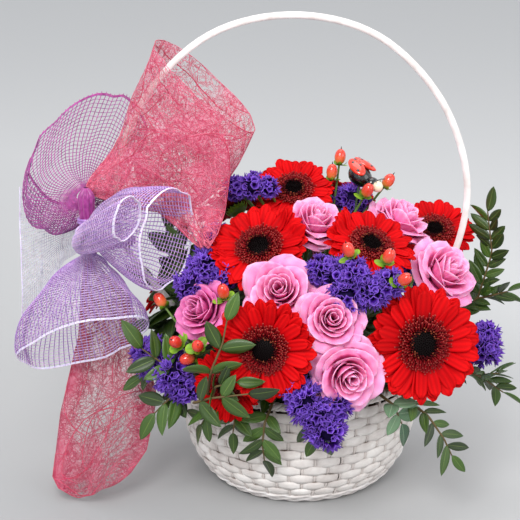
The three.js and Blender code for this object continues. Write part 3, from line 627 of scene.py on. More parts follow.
def lining_drum():
    """A thin drum behind the weave, dark brown as painted shade."""
    bm = bmesh.new()

    def drum(across, along):
        z = LINING_MIDDLE + LINING_HALF * across
        return polar(wall_radius(z) - LINING_GAP, 2 * math.pi * along, z)
    blade(bm, 12, STAKES, drum)
    bmesh.ops.remove_doubles(bm, verts=bm.verts, dist=0.001)
    finished("wall_lining", bm, [shade_and_style_brown], 0.6)


lining_drum()

# %% [markdown]
# The foot is two thin rods twined in three courses, and the rim is four rods that pass over and under
# each other. Each rod is a strand that rolls round a ring, which gives the rope look of both.

# %% Foot and rim
FOOT_COURSES = (2.4, 6.4, 10.2)
FOOT_ROD, RIM_ROD = 1.5, 1.9  # radii
RIM_RADIUS, RIM_HEIGHT = 112.2, 108.8


def twisted_ring(radius, z, strand_count, turns, wide, high, phase=0.0):
    """The lines of rods that twist round each other along a ring."""
    steps = turns * 8
    lines = []
    for strand in range(strand_count):
        lines.append([])
        for step in range(steps):
            turn = 2 * math.pi * step / steps
            roll = turns * turn + 2 * math.pi * strand / strand_count + phase
            lines[-1].append(polar(radius + wide * math.cos(roll), turn, z + high * math.sin(roll)))
    return lines


def foot_and_rim():
    """The twined courses of the foot, and the plait of the rim."""
    bm = bmesh.new()
    for course, z in enumerate(FOOT_COURSES):
        ring = twisted_ring(wall_radius(z) + 0.6, z, 2, STAKES // 4, 1.3, 1.1, course * 1.6)
        strands(bm, ring, FOOT_ROD, closed=True)
    finished("twined_foot", bm, [cane_paint])
    bm = bmesh.new()
    plait = twisted_ring(RIM_RADIUS, RIM_HEIGHT, 4, STAKES // 2, 2.9, 2.2)
    strands(bm, plait, RIM_ROD, sides=2, closed=True)
    finished("plaited_rim", bm, [cane_paint], 0, ["basket_rim"])


foot_and_rim()
print("foot courses", len(FOOT_COURSES), "and rim radius", RIM_RADIUS, "mm")

# %% [markdown]
# The handle is one cane, steamed and bent. Its curve goes through a few places, so that each foot runs
# down inside the wall. A centripetal spline passes through every place without overshooting between.


# %% A line through places
SPLINE_STEPS = 40


def line_length(places):
    """The length of the line through the places."""
    return sum((q - p).length for p, q in zip(places, places[1:]))


def through(places, count):
    """count + 1 places, evenly spaced, on a centripetal spline through the given ones."""
    known = [Vector(place) for place in places]
    known = [2 * known[0] - known[1], *known, 2 * known[-1] - known[-2]]
    fine = []
    for i in range(1, len(known) - 2):
        a, b, c, d = known[i - 1:i + 3]
        gaps = [max(1e-4, (q - p).length) ** 0.5 for p, q in ((a, b), (b, c), (c, d))]
        # leave and reach are how fast the curve runs at b and at c, which the uneven gaps decide
        leave = ((b - a) / gaps[0] - (c - a) / (gaps[0] + gaps[1]) + (c - b) / gaps[1]) * gaps[1]
        reach = ((c - b) / gaps[1] - (d - b) / (gaps[1] + gaps[2]) + (d - c) / gaps[2]) * gaps[1]
        for step in range(SPLINE_STEPS):
            t = step / SPLINE_STEPS
            fine.append(b + leave * t + (3 * (c - b) - 2 * leave - reach) * t * t
                        + (2 * (b - c) + leave + reach) * t ** 3)
    fine.append(known[-2])
    lengths = [0.0]
    for p, q in zip(fine, fine[1:]):
        lengths.append(lengths[-1] + (q - p).length)
    spaced, i = [], 0
    for step in range(count + 1):
        target = lengths[-1] * step / count
        while i < len(fine) - 2 and lengths[i + 1] < target:
            i += 1
        share = (target - lengths[i]) / (lengths[i + 1] - lengths[i])
        spaced.append(fine[i].lerp(fine[i + 1], share))
    return spaced


# %% Handle
ARCH = [(0, 441), (75, 423), (135, 364), (162, 288), (156, 226)]  # sideways from its middle, and height
ARCH_MIDDLE = -8.5
HANDLE_FEET = [(117.2, 158), (102.7, 122), (102.7, 100), (96.7, 42)]
HANDLE_RADIUS = 3.2

right_half = [(ARCH_MIDDLE + x, 0, z) for x, z in ARCH] + [(x, 0, z) for x, z in HANDLE_FEET]
left_half = [(ARCH_MIDDLE - x, 0, z) for x, z in ARCH[1:]] + [(-x, 0, z) for x, z in HANDLE_FEET]
handle_line = through([*reversed(left_half), *right_half], 96)

handle_bm = bmesh.new()
strands(handle_bm, [handle_line], HANDLE_RADIUS, sides=4)
finished("cane_handle", handle_bm, [cane_paint], 0, ["basket_handle"])
print("handle", round(line_length(handle_line)), "mm long")

# %% [markdown]
# The base disc, the foam and the film liner are plain shapes, and hardly seen. Their solids stay as they
# are and only get their materials.

# %% Base, foam and liner
KEPT = {"basket_base": cane_paint, "floral_foam": foam_skin, "basket_liner": film}
for node, finish in KEPT.items():
    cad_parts[node].material_slots[0].material = finish
print("kept solids", *KEPT)

# %% [markdown]
# ## Stems
# Each stem stands straight in its hole in the foam and then bends to its bloom, so the line has a
# straight part and a curve. A strand with a slight taper makes it, and the green cup ends it.

# %% Stem lines
FOAM_FOOT = 100
GRIP = 50  # how long a stem runs straight
GATHERED = 0.32  # how near the middle it stands in the foam, as a share of where its bloom is
BEND_STEPS = 8


def stem_line(flower, depth):
    """The places of a stem from the foot in the foam to the neck under the bloom."""
    at, outward = Vector(flower["at"]), direction(*flower["facing"])
    neck = at - depth * outward
    foot = Vector((GATHERED * at.x, GATHERED * at.y, FOAM_FOOT))
    along = (neck - foot).normalized()
    leave = foot + GRIP * along
    reach = 0.45 * (leave - neck).length
    bends = [leave, leave + reach * along, neck - reach * outward, neck]
    line = [foot]
    for step in range(BEND_STEPS + 1):
        t = step / BEND_STEPS  # a Bezier curve, which weighs its four places by powers of t
        line.append(sum((weight * place for weight, place in zip(
            ((1 - t) ** 3, 3 * t * (1 - t) ** 2, 3 * t * t * (1 - t), t ** 3), bends)), Vector()))
    return line + [neck + 3 * outward]


# %% [markdown]
# ## Gerberas
# A gerbera is many small flowers on one head. The outer ones have a long strap each, blunt and slightly
# channelled. Here each ray is one blade with its own length, droop and twist, in two or three layers.
# A ray that would run into a rose, a statice clump or a berry bends forward or back, to the side that it is
# on.

# %% Where the blooms are
ROSES = {
    "front_centre": dict(at=(-22, -122, 226), facing=(-97, 36), radius=28),
    "front_middle": dict(at=(24, -143, 207), facing=(-82, 30), radius=25),
    "front_low": dict(at=(40, -158, 158), facing=(-78, 5), radius=28),
    "front_left": dict(at=(-94, -108, 202), facing=(-130, 30), radius=24),
    "top": dict(at=(14, -46, 268), facing=(-60, 62), radius=26),
    "top_right": dict(at=(98, 2, 256), facing=(-10, 60), radius=26),
    "right": dict(at=(136, -44, 218), facing=(-42, 42), radius=29),
    "back_right": dict(at=(42, 128, 186), facing=(78, 25), radius=29),
    "back_left": dict(at=(-92, 104, 184), facing=(130, 28), radius=29),
}
GERBERAS = {
    "top_left": dict(at=(-38, -68, 244), facing=(-108, 52), radius=46, slope=0.12, full=True),
    "top_right": dict(at=(60, -69, 246), facing=(-62, 59), radius=43, slope=0.12, full=True),
    "front_left": dict(at=(-34, -148, 180), facing=(-100, 15), radius=46, slope=0.14, full=True),
    "front_right": dict(at=(104, -116, 172), facing=(-72, 20), radius=54, slope=0.12, full=True),
    "crown": dict(at=(-6, 18, 272), facing=(-95, 58), radius=40, slope=0.14, full=True),
    "back_left": dict(at=(-62, 44, 250), facing=(130, 45), radius=40, slope=0.2, full=False),
    "far_right": dict(at=(130, 38, 226), facing=(-90, 60), radius=40, slope=0.12, full=False),
    "far_left": dict(at=(-126, 48, 170), facing=(160, 25), radius=38, slope=0.2, full=False),
    "front_low": dict(at=(-66, -132, 140), facing=(-120, 0), radius=34, slope=0.25, full=False),
    "back": dict(at=(36, 84, 240), facing=(75, 45), radius=42, slope=0.2, full=False),
}
STATICE = {
    "left": dict(fork=(-62, -54, 172), clumps=[(-87, -72, 228, 14), (-78, -20, 236, 14)]),
    "centre": dict(fork=(34, -62, 180), clumps=[(30, -106, 230, 15), (58, -122, 222, 13)]),
    "front": dict(fork=(4, -112, 124), clumps=[(2, -154, 134, 16), (20, -156, 108, 15)]),
    "front_left": dict(fork=(-92, -72, 132), clumps=[(-118, -104, 140, 17), (-138, -70, 140, 16)]),
    "top": dict(fork=(0, 46, 190), clumps=[(-38, 74, 258, 15), (50, 38, 258, 14), (-2, 120, 214, 16)]),
    "right": dict(fork=(100, 30, 136), clumps=[(172, -30, 132, 15), (120, 96, 168, 18)]),
}
HYPERICUM = {
    "left": dict(fork=(-94, -86, 150), berries=[(-128, -70, 196), (-112, -116, 174), (-92, -130, 176)]),
    "front_left": dict(fork=(-60, -96, 164), berries=[(-70, -112, 220), (-66, -124, 200), (-102, -116, 158)]),
    "centre": dict(fork=(56, -98, 204), berries=[(38, -112, 258), (73, -114, 253), (86, -126, 236)]),
    "top": dict(fork=(26, 20, 200), berries=[(38, 40, 300), (30, 30, 288), (62, 2, 278), (84, 34, 278)]),
}
BERRY_RADIUS = 5.4
BERRY_LENGTH = 14.5

# %% Rays that make room
HUB = 13
CLEARANCE = 5
FARTHEST_BACK, FARTHEST_FORWARD = -22, 8
neighbours = [(Vector(rose["at"]) - 0.3 * rose["radius"] * direction(*rose["facing"]), rose["radius"])
              for rose in ROSES.values()]
neighbours += [(Vector(clump[:3]), clump[3]) for spray in STATICE.values() for clump in spray["clumps"]]
neighbours += [(Vector(place), BERRY_RADIUS) for spray in HYPERICUM.values() for place in spray["berries"]]


def room(flower, pose, x, y):
    """How far a ray bends along the bloom's facing at that place, in front of or behind a neighbour."""
    out = math.hypot(x, y)
    if out < 0.55 * flower["radius"]:
        return 0.0
    outward = direction(*flower["facing"])
    probe = pose @ Vector((x, y, flower["slope"] * (out - HUB)))
    bend = 0
    for middle, reach in neighbours:
        step = 1 if (probe - middle).dot(outward) > 0 else -1
        while FARTHEST_BACK < bend < FARTHEST_FORWARD and (probe - middle).length < reach + CLEARANCE:
            probe += step * outward
            bend += step
    return bend


# %% Gerbera rays
RAY_LAYERS = [
    # rays, reach as a share of the radius, lift, and how much steeper they stand
    (22, 1.0, 0.0, 0.0),
    (22, 0.96, 0.9, 0.04),
    (15, 0.87, 2.0, 0.09),  # only in a full bloom
]
RAY_START = 6
RAY_WIDTH = 0.116  # half the width of a ray, as a share of the bloom's radius


def gerbera_rays(name, flower):
    """The straps of a gerbera, each with its own length, width, droop and twist."""
    bm = bmesh.new()
    pose, radius, slope = head_pose(flower), flower["radius"], flower["slope"]
    chance = random.Random(len(name) * 7 + int(flower["at"][0]) + 300)
    for count, reach, lift, extra in RAY_LAYERS if flower["full"] else RAY_LAYERS[:2]:
        for i in range(count):
            middle = 2 * math.pi * (i + chance.uniform(-0.22, 0.22)) / count + 11 * lift
            long = radius * reach * chance.uniform(0.93, 1.02)
            wide = radius * RAY_WIDTH * chance.uniform(0.85, 1.1)
            droop, twist = chance.uniform(-1.2, 3.4), chance.uniform(-0.25, 0.25)
            sway = chance.uniform(-0.05, 0.05)

            def ray(across, along):
                along = 1 - (1 - along) ** 1.25
                narrow = 0.42 + 0.58 * smoothstep(0.0, 0.6, along)  # slim at the heart
                blunt = 1 - 0.62 * smoothstep(0.84, 1.0, along) ** 2  # and round at the tip
                side = across * wide * narrow * blunt
                out = RAY_START + (long - RAY_START) * along
                out -= 1.2 * abs(across) ** 3 * smoothstep(0.8, 1, along)
                angle = middle + sway * along
                x = out * math.cos(angle) - side * math.sin(angle)
                y = out * math.sin(angle) + side * math.cos(angle)
                channel = 1.1 * across * across * narrow - 0.5  # its edges stand up a little
                z = lift + (slope + extra) * max(0, out - HUB) + channel + twist * side
                z -= droop * smoothstep(0.45, 1.0, along) ** 1.5  # its outer half hangs
                return pose @ Vector((x, y, z + room(flower, pose, x, y)))
            blade(bm, 4, 7, ray, 0, chance.random())
    finished(f"gerbera_{name}_rays", bm, [gerbera_petal], 0.5, [f"gerbera_{name}"])


# %% [markdown]
# The middle of the head is a dome of closed disc florets, almost black and set in the golden-angle
# spiral that every daisy shows. Round it stand open florets with cream pollen tips, then a maroon frill.

# %% Stubs, balls and spokes
GOLDEN = math.pi * (3 - math.sqrt(5))
ASLANT = Vector((0.31, 0.87, 0.38))  # a hint that lies along no stalk here


def cone(bm, at, along, low, high, length, slot=0, sides=5):
    """Adds a small cone or stub that stands on at and points along."""
    before = len(bm.faces)
    bmesh.ops.create_cone(bm, cap_ends=True, segments=sides, radius1=low, radius2=high, depth=length,
                          matrix=posed(at + along * length / 2, along, ASLANT))
    smooth_new(bm, before, slot)


def ball(bm, pose, size, slot=0, columns=12, rings=8):
    """Adds an ellipsoid with the given half axes."""
    before = len(bm.faces)
    bmesh.ops.create_uvsphere(bm, u_segments=columns, v_segments=rings, radius=1.0,
                              matrix=pose @ Matrix.Diagonal((*size, 1.0)))
    smooth_new(bm, before, slot)


def spoke(out, side, angle, z):
    """The place at a distance out along an angle, at a distance to its side, and at a height."""
    return Vector((out * math.cos(angle) - side * math.sin(angle),
                   out * math.sin(angle) + side * math.cos(angle), z))


# %% Gerbera heart
DISC_FLORETS = 150
FRILL_FLORETS = 170
DARK_SHARE, HEART_SHARE = 0.185, 0.25  # closed florets and the whole dome, as shares of the bloom's radius


def heart_lift(flower):
    """How high the heart sits, which is more where a third layer of rays lies under it."""
    return (1.8 if flower["full"] else 0.0) + 1.8


def gerbera_heart(name, flower, chance):
    """The dome: closed florets in its middle, and open ones with pollen tips round them."""
    bm = bmesh.new()
    pose, radius, lift = head_pose(flower), flower["radius"], heart_lift(flower)
    dark, ring = DARK_SHARE * radius, HEART_SHARE * radius
    ball(bm, pose @ Matrix.Translation((0, 0, lift)), (ring, ring, 2.6), 0, 16, 8)
    for i in range(DISC_FLORETS):
        out = ring * math.sqrt((i + 0.5) / DISC_FLORETS)
        angle = GOLDEN * i
        dome = lift + 1.6 + 1.8 * (1 - (out / ring) ** 2)
        at = pose @ polar(out, angle, dome - 1.0)
        lean = (pose.to_3x3() @ polar(0.35 * out / ring, angle, 1)).normalized()
        if out < dark:
            cone(bm, at, lean, 0.78, 0.3, 2.2 * chance.uniform(0.8, 1.1), 0)
            continue
        tall = 2.4 * chance.uniform(0.8, 1.35)
        cone(bm, at, lean, 0.55, 0.8, tall, 1)
        if chance.random() < 0.35:
            cone(bm, at + lean * tall, lean, 0.5, 0.22, 0.9, 2)
    finished(f"gerbera_{name}_disc", bm, [gerbera_disc, gerbera_frill, pollen], 0,
             [f"gerbera_{name}_heart"])


# %% Gerbera frill
def gerbera_collar(name, flower, chance):
    """The short maroon florets between the dome and the rays."""
    bm = bmesh.new()
    pose, radius, lift = head_pose(flower), flower["radius"], heart_lift(flower)
    for i in range(FRILL_FLORETS):
        angle = GOLDEN * i
        start = radius * (0.21 + 0.2 * i / FRILL_FLORETS)
        end = start + radius * chance.uniform(0.07, 0.13)
        rise = chance.uniform(1.0, 3.4) * (1 - 0.4 * i / FRILL_FLORETS)

        def frill(across, along):
            z = lift + 0.9 + rise * math.sin(along * 1.9)
            return pose @ spoke(start + (end - start) * along, across * 0.62, angle, z)
        blade(bm, 2, 3, frill, 0, chance.random())
    finished(f"gerbera_{name}_frill", bm, [gerbera_frill], 0.35)


# %% Gerbera stem and cup
BRACTS = 34


def gerbera_stem(name, flower):
    """The thick stem, and the green cup of narrow bracts that holds the head."""
    bm = bmesh.new()
    strands(bm, [stem_line(flower, 11)], 2.5, sides=2, taper=lambda share: 1.1 - 0.2 * share)
    pose = head_pose(flower)
    chance = random.Random(5)
    ball(bm, pose @ Matrix.Translation((0, 0, -5)), (9.5, 9.5, 5.5), 0, 14, 8)
    for i in range(BRACTS):
        angle = GOLDEN * i
        tall = 7 if i % 2 else 4.5

        def bract(across, along):
            lift = -8 + tall * along
            out = 5.2 + 6.2 * math.sqrt(max(0, along)) + 0.3 * (i % 3)
            return pose @ spoke(out, across * 1.7 * (1 - along ** 2), angle, lift)
        blade(bm, 2, 3, bract, 1, chance.random())
    finished(f"gerbera_{name}_stem", bm, [stem_skin, sepal_green])


for name, flower in GERBERAS.items():
    gerbera_rays(name, flower)
    chance = random.Random(len(name) + 50)
    gerbera_heart(name, flower, chance)
    gerbera_collar(name, flower, chance)
    gerbera_stem(name, flower)
print("gerberas", len(GERBERAS))

# %% [markdown]
# ## Roses
# A rose petal is a cup whose rim rolls outwards, and each lies half under the next. The layers are
# given from the outside in: how many petals, how far out and how high the rim stands, and how much it
# rolls. One edge of every petal is tucked in, which draws the spiral that the eye looks for.

# %% Rose petals
ROSE_SIZE = 30  # the radius of the rose that the layers are given for
ROSE_FOOT = 3.2  # the radius where its petals start
ROSE_BOTTOM = -22  # and how high that is, from the middle of the bloom
ROSE_LAYERS = [
    # petals, rim radius, rim height, roll, point
    (5, 30.0, -8.0, 9.0, 8.0),
    (4, 27.0, -2.0, 9.5, 8.0),
    (4, 22.0, 3.5, 7.5, 5.5),
    (4, 16.5, 7.2, 4.6, 2.6),
    (4, 11.6, 9.4, 2.6, 1.2),
    (3, 7.6, 10.6, 1.4, 0.5),
    (3, 4.2, 11.2, 0.5, 0.1),
]


def rose_head(name, flower):
    """The cupped petals of a rose, from the outside in."""
    bm = bmesh.new()
    pose, scale = head_pose(flower), flower["radius"] / ROSE_SIZE
    chance = random.Random(len(name) * 13 + 4)
    for layer, (petals, rim, high, roll, tip) in enumerate(ROSE_LAYERS):
        for i in range(petals):
            middle = 2 * math.pi * (i + 0.618 * layer) / petals + chance.uniform(-0.12, 0.12)
            span = math.pi / petals * chance.uniform(1.4, 1.6)
            lower = ROSE_BOTTOM + 1.2 * layer
            tall = high + chance.uniform(-1.0, 1.2)
            curl = roll * chance.uniform(0.75, 1.25)
            point = chance.uniform(0.1, 0.24)
            ruffle = chance.random() * 20

            def petal(across, along):
                shape = min(1.0, tip / 7)  # outer petals come to a point, inner ones are round
                corner = (0.12 + point + 0.26 * shape) * abs(across) ** (2.5 - 1.1 * shape)
                reach = along * (1 - corner * smoothstep(0.3, 1, along))
                wide = span * (0.55 + 0.45 * math.sin(math.pi * min(1.0, reach * 0.72 + 0.1)))
                out = ROSE_FOOT + (rim - ROSE_FOOT) * math.sin(math.pi / 2 * reach ** 0.62)  # a cup
                z = lower + (tall - lower) * reach ** 1.35
                rolled = smoothstep(0.66, 1.0, along) ** 1.4  # its rim turns out and down
                out += curl * rolled * 0.55 + 2.4 * across * (rim / ROSE_SIZE) ** 0.5  # one edge is tucked in
                out += tip * (0.5 - abs(across) ** 1.4) * smoothstep(0.55, 1, along)
                z -= curl * rolled * (0.6 + 0.5 * abs(across)) * 0.7
                wave = noise.noise(Vector((across * 1.8, along * 1.6, ruffle)))
                out += 1.2 * wave * smoothstep(0.35, 1, along) * (0.3 + rim / 46)
                angle = middle + across * wide
                return pose @ (scale * polar(out, angle, z))
            blade(bm, 8, 9, petal, 0, chance.random())
    deep = name == "front_left"
    finished(f"rose_{name}_petals", bm, [deep_rose_petal if deep else rose_petal],
             0.4, [f"rose_{name}"])


# %% Rose stem
def rose_stem(name, flower):
    """The stem, the round hip and five pointed sepals."""
    bm = bmesh.new()
    scale, pose = flower["radius"] / ROSE_SIZE, head_pose(flower)
    strands(bm, [stem_line(flower, flower["radius"] * 0.86)], 2.1, sides=2)
    ball(bm, pose @ Matrix.Translation((0, 0, -23 * scale)), (5 * scale,) * 3)
    for i in range(5):
        angle = 2 * math.pi * (i + 0.3) / 5

        def sepal(across, along):
            out = scale * (4 + 17 * math.sin(1.3 * along))
            side = across * scale * 3.4 * math.sin(math.pi * (0.2 + 0.8 * along))
            lift = scale * (ROSE_BOTTOM + 9 * along * along - 4 * along)
            return pose @ spoke(out, side, angle, lift)
        blade(bm, 2, 6, sepal, 1)
    finished(f"rose_{name}_stem", bm, [stem_skin, sepal_green])


for name, flower in ROSES.items():
    rose_head(name, flower)
    rose_stem(name, flower)
print("roses", len(ROSES))

# %% [markdown]
# ## Statice
# Statice is the dry filler of florists: papery violet funnels, crumpled at the mouth and packed in round
# clumps on forked stems. Every funnel is a blade whose two edges meet, with five waves on its mouth.


# %% Statice florets
def funnel(bm, at, along, wide, deep, tone, wave):
    """Adds a papery funnel whose mouth has five waves."""
    pose = posed(at, along, ASLANT)

    def rule(across, share):
        angle = math.pi * across
        crimp = 1 + 0.3 * math.sin(5 * angle + wave) * share  # deeper towards the mouth
        out = wide * (0.14 + 0.86 * share ** 1.4) * crimp
        lift = deep * (share - 0.36 * share * math.cos(5 * angle + wave + 1.0))
        return pose @ polar(out, angle, lift)
    blade(bm, 10, 2, rule, 0, tone)


# %% Statice sprays
FLORETS_PER_AREA = 0.4  # florets for each square millimetre of radius squared
FLORET_WIDTH = 3.7


def statice(name, spray):
    """The clumps of a spray, and the stems that fork under them."""
    fork = Vector(spray["fork"])
    foot = Vector((fork.x * 0.5, fork.y * 0.5, FOAM_FOOT))
    for number, (x, y, z, radius) in enumerate(spray["clumps"]):
        middle = Vector((x, y, z))
        chance = random.Random(int(x) + 200)
        bm = bmesh.new()
        count = round(FLORETS_PER_AREA * radius * radius)
        others = [clump for clump in spray["clumps"] if clump[:3] != (x, y, z)]
        for i in range(count):
            height = 1 - 2 * (i + 0.5) / count
            way = polar(math.sqrt(1 - height * height), GOLDEN * i, height)
            lump = 1.08 + 0.75 * noise.noise(way * 1.5 + middle)
            way = (way + 0.4 * Vector([chance.uniform(-1, 1) for _ in range(3)])).normalized()
            start = middle + way * radius * lump * 0.62
            if any((start - Vector(other[:3])).length < 0.6 * other[3] for other in others):
                continue  # it would be hidden in the next clump
            funnel(bm, start, way, FLORET_WIDTH * chance.uniform(0.7, 1.25),
                   radius * 0.42 * chance.uniform(0.8, 1.2), chance.random(), chance.random() * 6)
        bmesh.ops.remove_doubles(bm, verts=bm.verts, dist=0.001)
        nodes = [f"statice_{name}"] if number == 0 else []
        finished(f"statice_{name}_{number}", bm, [statice_paper], 0.3, nodes)
    bm = bmesh.new()
    tips = [Vector(clump[:3]) for clump in spray["clumps"]]
    strands(bm, [[foot, fork], *[[fork, fork.lerp(tip, 0.5) + Vector((0, 0, 3)), tip] for tip in tips]], 1.5)
    # Each clump is filled by a dark ball, which is painted shade among the florets.
    for tip, (*_, radius) in zip(tips, spray["clumps"]):
        ball(bm, Matrix.Translation(tip), (radius * 0.62,) * 3, 1)
    finished(f"statice_{name}_stems", bm, [stem_skin, statice_shade_core])


MORE_CLUMPS = {  # smaller ones on the same stems, which the solid model leaves out
    "centre": [(44, -116, 236, 12), (72, -118, 229, 12), (15, -106, 238, 11), (36, -124, 219, 12)],
    "left": [(-100, -86, 216, 12), (-72, -78, 222, 12), (-84, -46, 236, 11)],
    "front": [(10, -160, 124, 13), (-9, -154, 146, 11), (28, -152, 130, 11)],
    "front_left": [(-128, -86, 152, 12), (-106, -112, 128, 12)],
    "top": [(-60, -4, 282, 10), (-46, -8, 285, 10), (-30, -6, 283, 9)],
    "right": [(176, -18, 142, 11)],
}
for name, spray in STATICE.items():
    statice(name, dict(fork=spray["fork"], clumps=spray["clumps"] + MORE_CLUMPS[name]))
print("statice sprays", len(STATICE))

# %% [markdown]
# ## Hypericum
# The berries are oval and shiny, with five sepals under each and a dry style at the tip. A berry is a
# blade bent right round, so that its colour can run from the sepals to the tip.


# %% Hypericum berries
def hypericum(name, spray):
    """The berries of a spray, and its forked stem with the sepals."""
    fork = Vector(spray["fork"])
    foot = Vector((fork.x * 0.45, fork.y * 0.45, FOAM_FOOT))
    skins, greens = bmesh.new(), bmesh.new()
    strands(greens, [[foot, fork]], 1.5)
    chance = random.Random(len(name))
    for place in spray["berries"]:
        tip = Vector(place)
        along = (tip - fork).normalized()
        seat = tip - along * BERRY_LENGTH / 2
        pose = posed(seat, along, ASLANT)
        strands(greens, [[fork, fork.lerp(seat, 0.6) + Vector((0, 0, 1.5)), seat]], 1.1)

        def skin(across, share):
            lift = math.pi * (0.03 + 0.96 * share)
            out = BERRY_RADIUS * 1.08 * math.sin(lift) ** 0.85 * (1 - 0.12 * share)
            return pose @ polar(out, math.pi * across, BERRY_LENGTH * (0.5 - 0.5 * math.cos(lift)))
        blade(skins, 12, 9, skin, 0, chance.random())
        cone(skins, seat + along * BERRY_LENGTH * 0.98, along, 0.7, 0.25, 2.6, 1)
        for i in range(5):
            angle = 2 * math.pi * i / 5

            def sepal(across, share):
                long = 1.0 + 0.7 * (i % 2)
                out = 1 + 6.2 * math.sin(1.4 * share) * long
                side = across * 2.9 * math.sin(math.pi * (0.25 + 0.72 * share)) * long
                lift = -1.2 + (4.2 if i % 2 == 0 else 0.6) * share ** 1.5
                return pose @ spoke(out, side, angle, lift)
            blade(greens, 2, 5, sepal, 1, chance.random())
    bmesh.ops.remove_doubles(skins, verts=skins.verts, dist=0.001)
    finished(f"hypericum_{name}_berries", skins, [berry_skin, shade_and_style_brown], 0,
             [f"hypericum_{name}"])
    finished(f"hypericum_{name}_greens", greens, [stem_skin, sepal_green])


for name, spray in HYPERICUM.items():
    hypericum(name, spray)
print("berries", sum(len(spray["berries"]) for spray in HYPERICUM.values()))

# %% [markdown]
# ## Greenery
# Sprays of small pointed leaves fill the sides and hang over the rim. A stem carries pairs of leaves,
# and single bigger leaves are tucked between the blooms, so that the foam can't be seen. Each stem is
# given by the places that it goes through, and by the way that its pairs of leaves spread.

# %% Where the sprays are
GREENERY = {  # leaf is the length and width of a leaf, and every the distance from pair to pair
    "right": dict(leaf=(24, 9), stems=[
        ([(62, 4, 104), (122, 6, 134), (170, 8, 168), (182, 10, 214), (176, 12, 254)], (0.7, -0.7, 0)),
        ([(170, 8, 168), (196, -4, 180)], (0, -0.6, 0.8))]),
    "low_right": dict(leaf=(24, 9), stems=[
        ([(58, -22, 104), (120, -42, 122), (164, -60, 118), (188, -58, 100)], (0.2, -0.7, 0.7)),
        ([(164, -60, 118), (178, -88, 132)], (0.9, 0.4, 0))]),
    "front_right": dict(leaf=(26, 8), every=14, stems=[
        ([(40, -50, 104), (84, -94, 119), (112, -120, 104), (126, -124, 84), (134, -120, 66)],
         (0.8, 0.5, 0))]),
    "front": dict(leaf=(24, 9), every=13, stems=[
        ([(-14, -60, 104), (-26, -118, 119), (-34, -138, 106), (-36, -136, 84), (-34, -130, 66)],
         (1, 0, 0))]),
    "left": dict(leaf=(24, 11), stems=[
        ([(-58, -30, 104), (-112, -50, 124), (-134, -54, 126), (-146, -52, 114)], (0.1, 0.75, 0.65)),
        ([(-112, -50, 124), (-110, -94, 108)], (0.9, -0.1, 0.3))]),
    "back": dict(leaf=(30, 13), stems=[
        ([(-10, 56, 104), (-24, 118, 122), (-40, 150, 150), (-44, 158, 190)], (1, 0, 0)),
        ([(-24, 118, 122), (20, 158, 134), (56, 158, 150)], (0, 0, 1)),
        ([(-24, 118, 122), (-80, 140, 120)], (0, 0, 1))]),
}
LEAVES_FROM = 0.25  # the share of a stem below its first leaves
LEAF_EVERY = 9
LEAF_LEAN = 0.9  # radians between a leaf and its stem


# %% Sprays
def place_on(path, share):
    """The place and the direction at a share of a line's length."""
    lengths = [(q - p).length for p, q in zip(path, path[1:])]
    left = share * sum(lengths)
    for i, length in enumerate(lengths):
        if left <= length or i == len(lengths) - 1:
            return path[i].lerp(path[i + 1], left / length), (path[i + 1] - path[i]).normalized()
        left -= length


def spray_of_leaves(name, spray, seed, nodes=(), skin=leaf_skin):
    """Stems with pairs of leaves, and a single leaf at the end of each."""
    leaves, wood = bmesh.new(), bmesh.new()
    chance = random.Random(seed)
    length, width = spray["leaf"]
    for number, (places, spread) in enumerate(spray["stems"]):
        path = [Vector(place) for place in places][0 if number else 1:]
        fine = [place_on(path, i / 24)[0] for i in range(25)]
        if not number:
            fine = [Vector(places[0]), *fine]
        strands(wood, [fine], 1.3, taper=lambda share: 1.2 - 0.7 * share)
        first = spray.get("first", LEAVES_FROM)
        count = max(2, round(line_length(path) * (1 - first) / spray.get("every", LEAF_EVERY)))
        for i in range(count + 1):
            share = first + (1 - first) * i / count
            at, along = place_on(path, share)
            across = (Vector(spread) - Vector(spread).dot(along) * along).normalized()
            up = along.cross(across)
            if up.z < -0.2:
                up = -up
            for hand in (-1, 1) if i < count else (0,):
                lean = LEAF_LEAN * chance.uniform(0.8, 1.15) * hand
                lean += 0.35 * (1 - abs(hand)) * chance.uniform(-1, 1)
                way = along * math.cos(lean) + across * math.sin(lean) + up * chance.uniform(-0.15, 0.35)
                face = (up + across * chance.uniform(-0.35, 0.35)).normalized()
                size = chance.uniform(0.82, 1.12)
                leaf(leaves, leaf_pose(at, way, face), length * size, width * size * 1.1,
                     droop=chance.uniform(0.02, 0.2), tone=chance.random(), twist=chance.uniform(-0.5, 0.5))
    finished(f"greenery_{name}_leaves", leaves, [skin], 0.4, nodes)
    finished(f"greenery_{name}_stem", wood, [sprig_wood])


for seed, (name, spray) in enumerate(GREENERY.items()):
    spray_of_leaves(name, spray, seed + 31, nodes=[f"greenery_{name}"])
print("sprays", len(GREENERY))

# %% [markdown]
# Short sprigs of the same leaves stand between the blooms. They start in the foam as the others do,
# and each one ends in front of the bloom or on the stretch of rim that it covers.

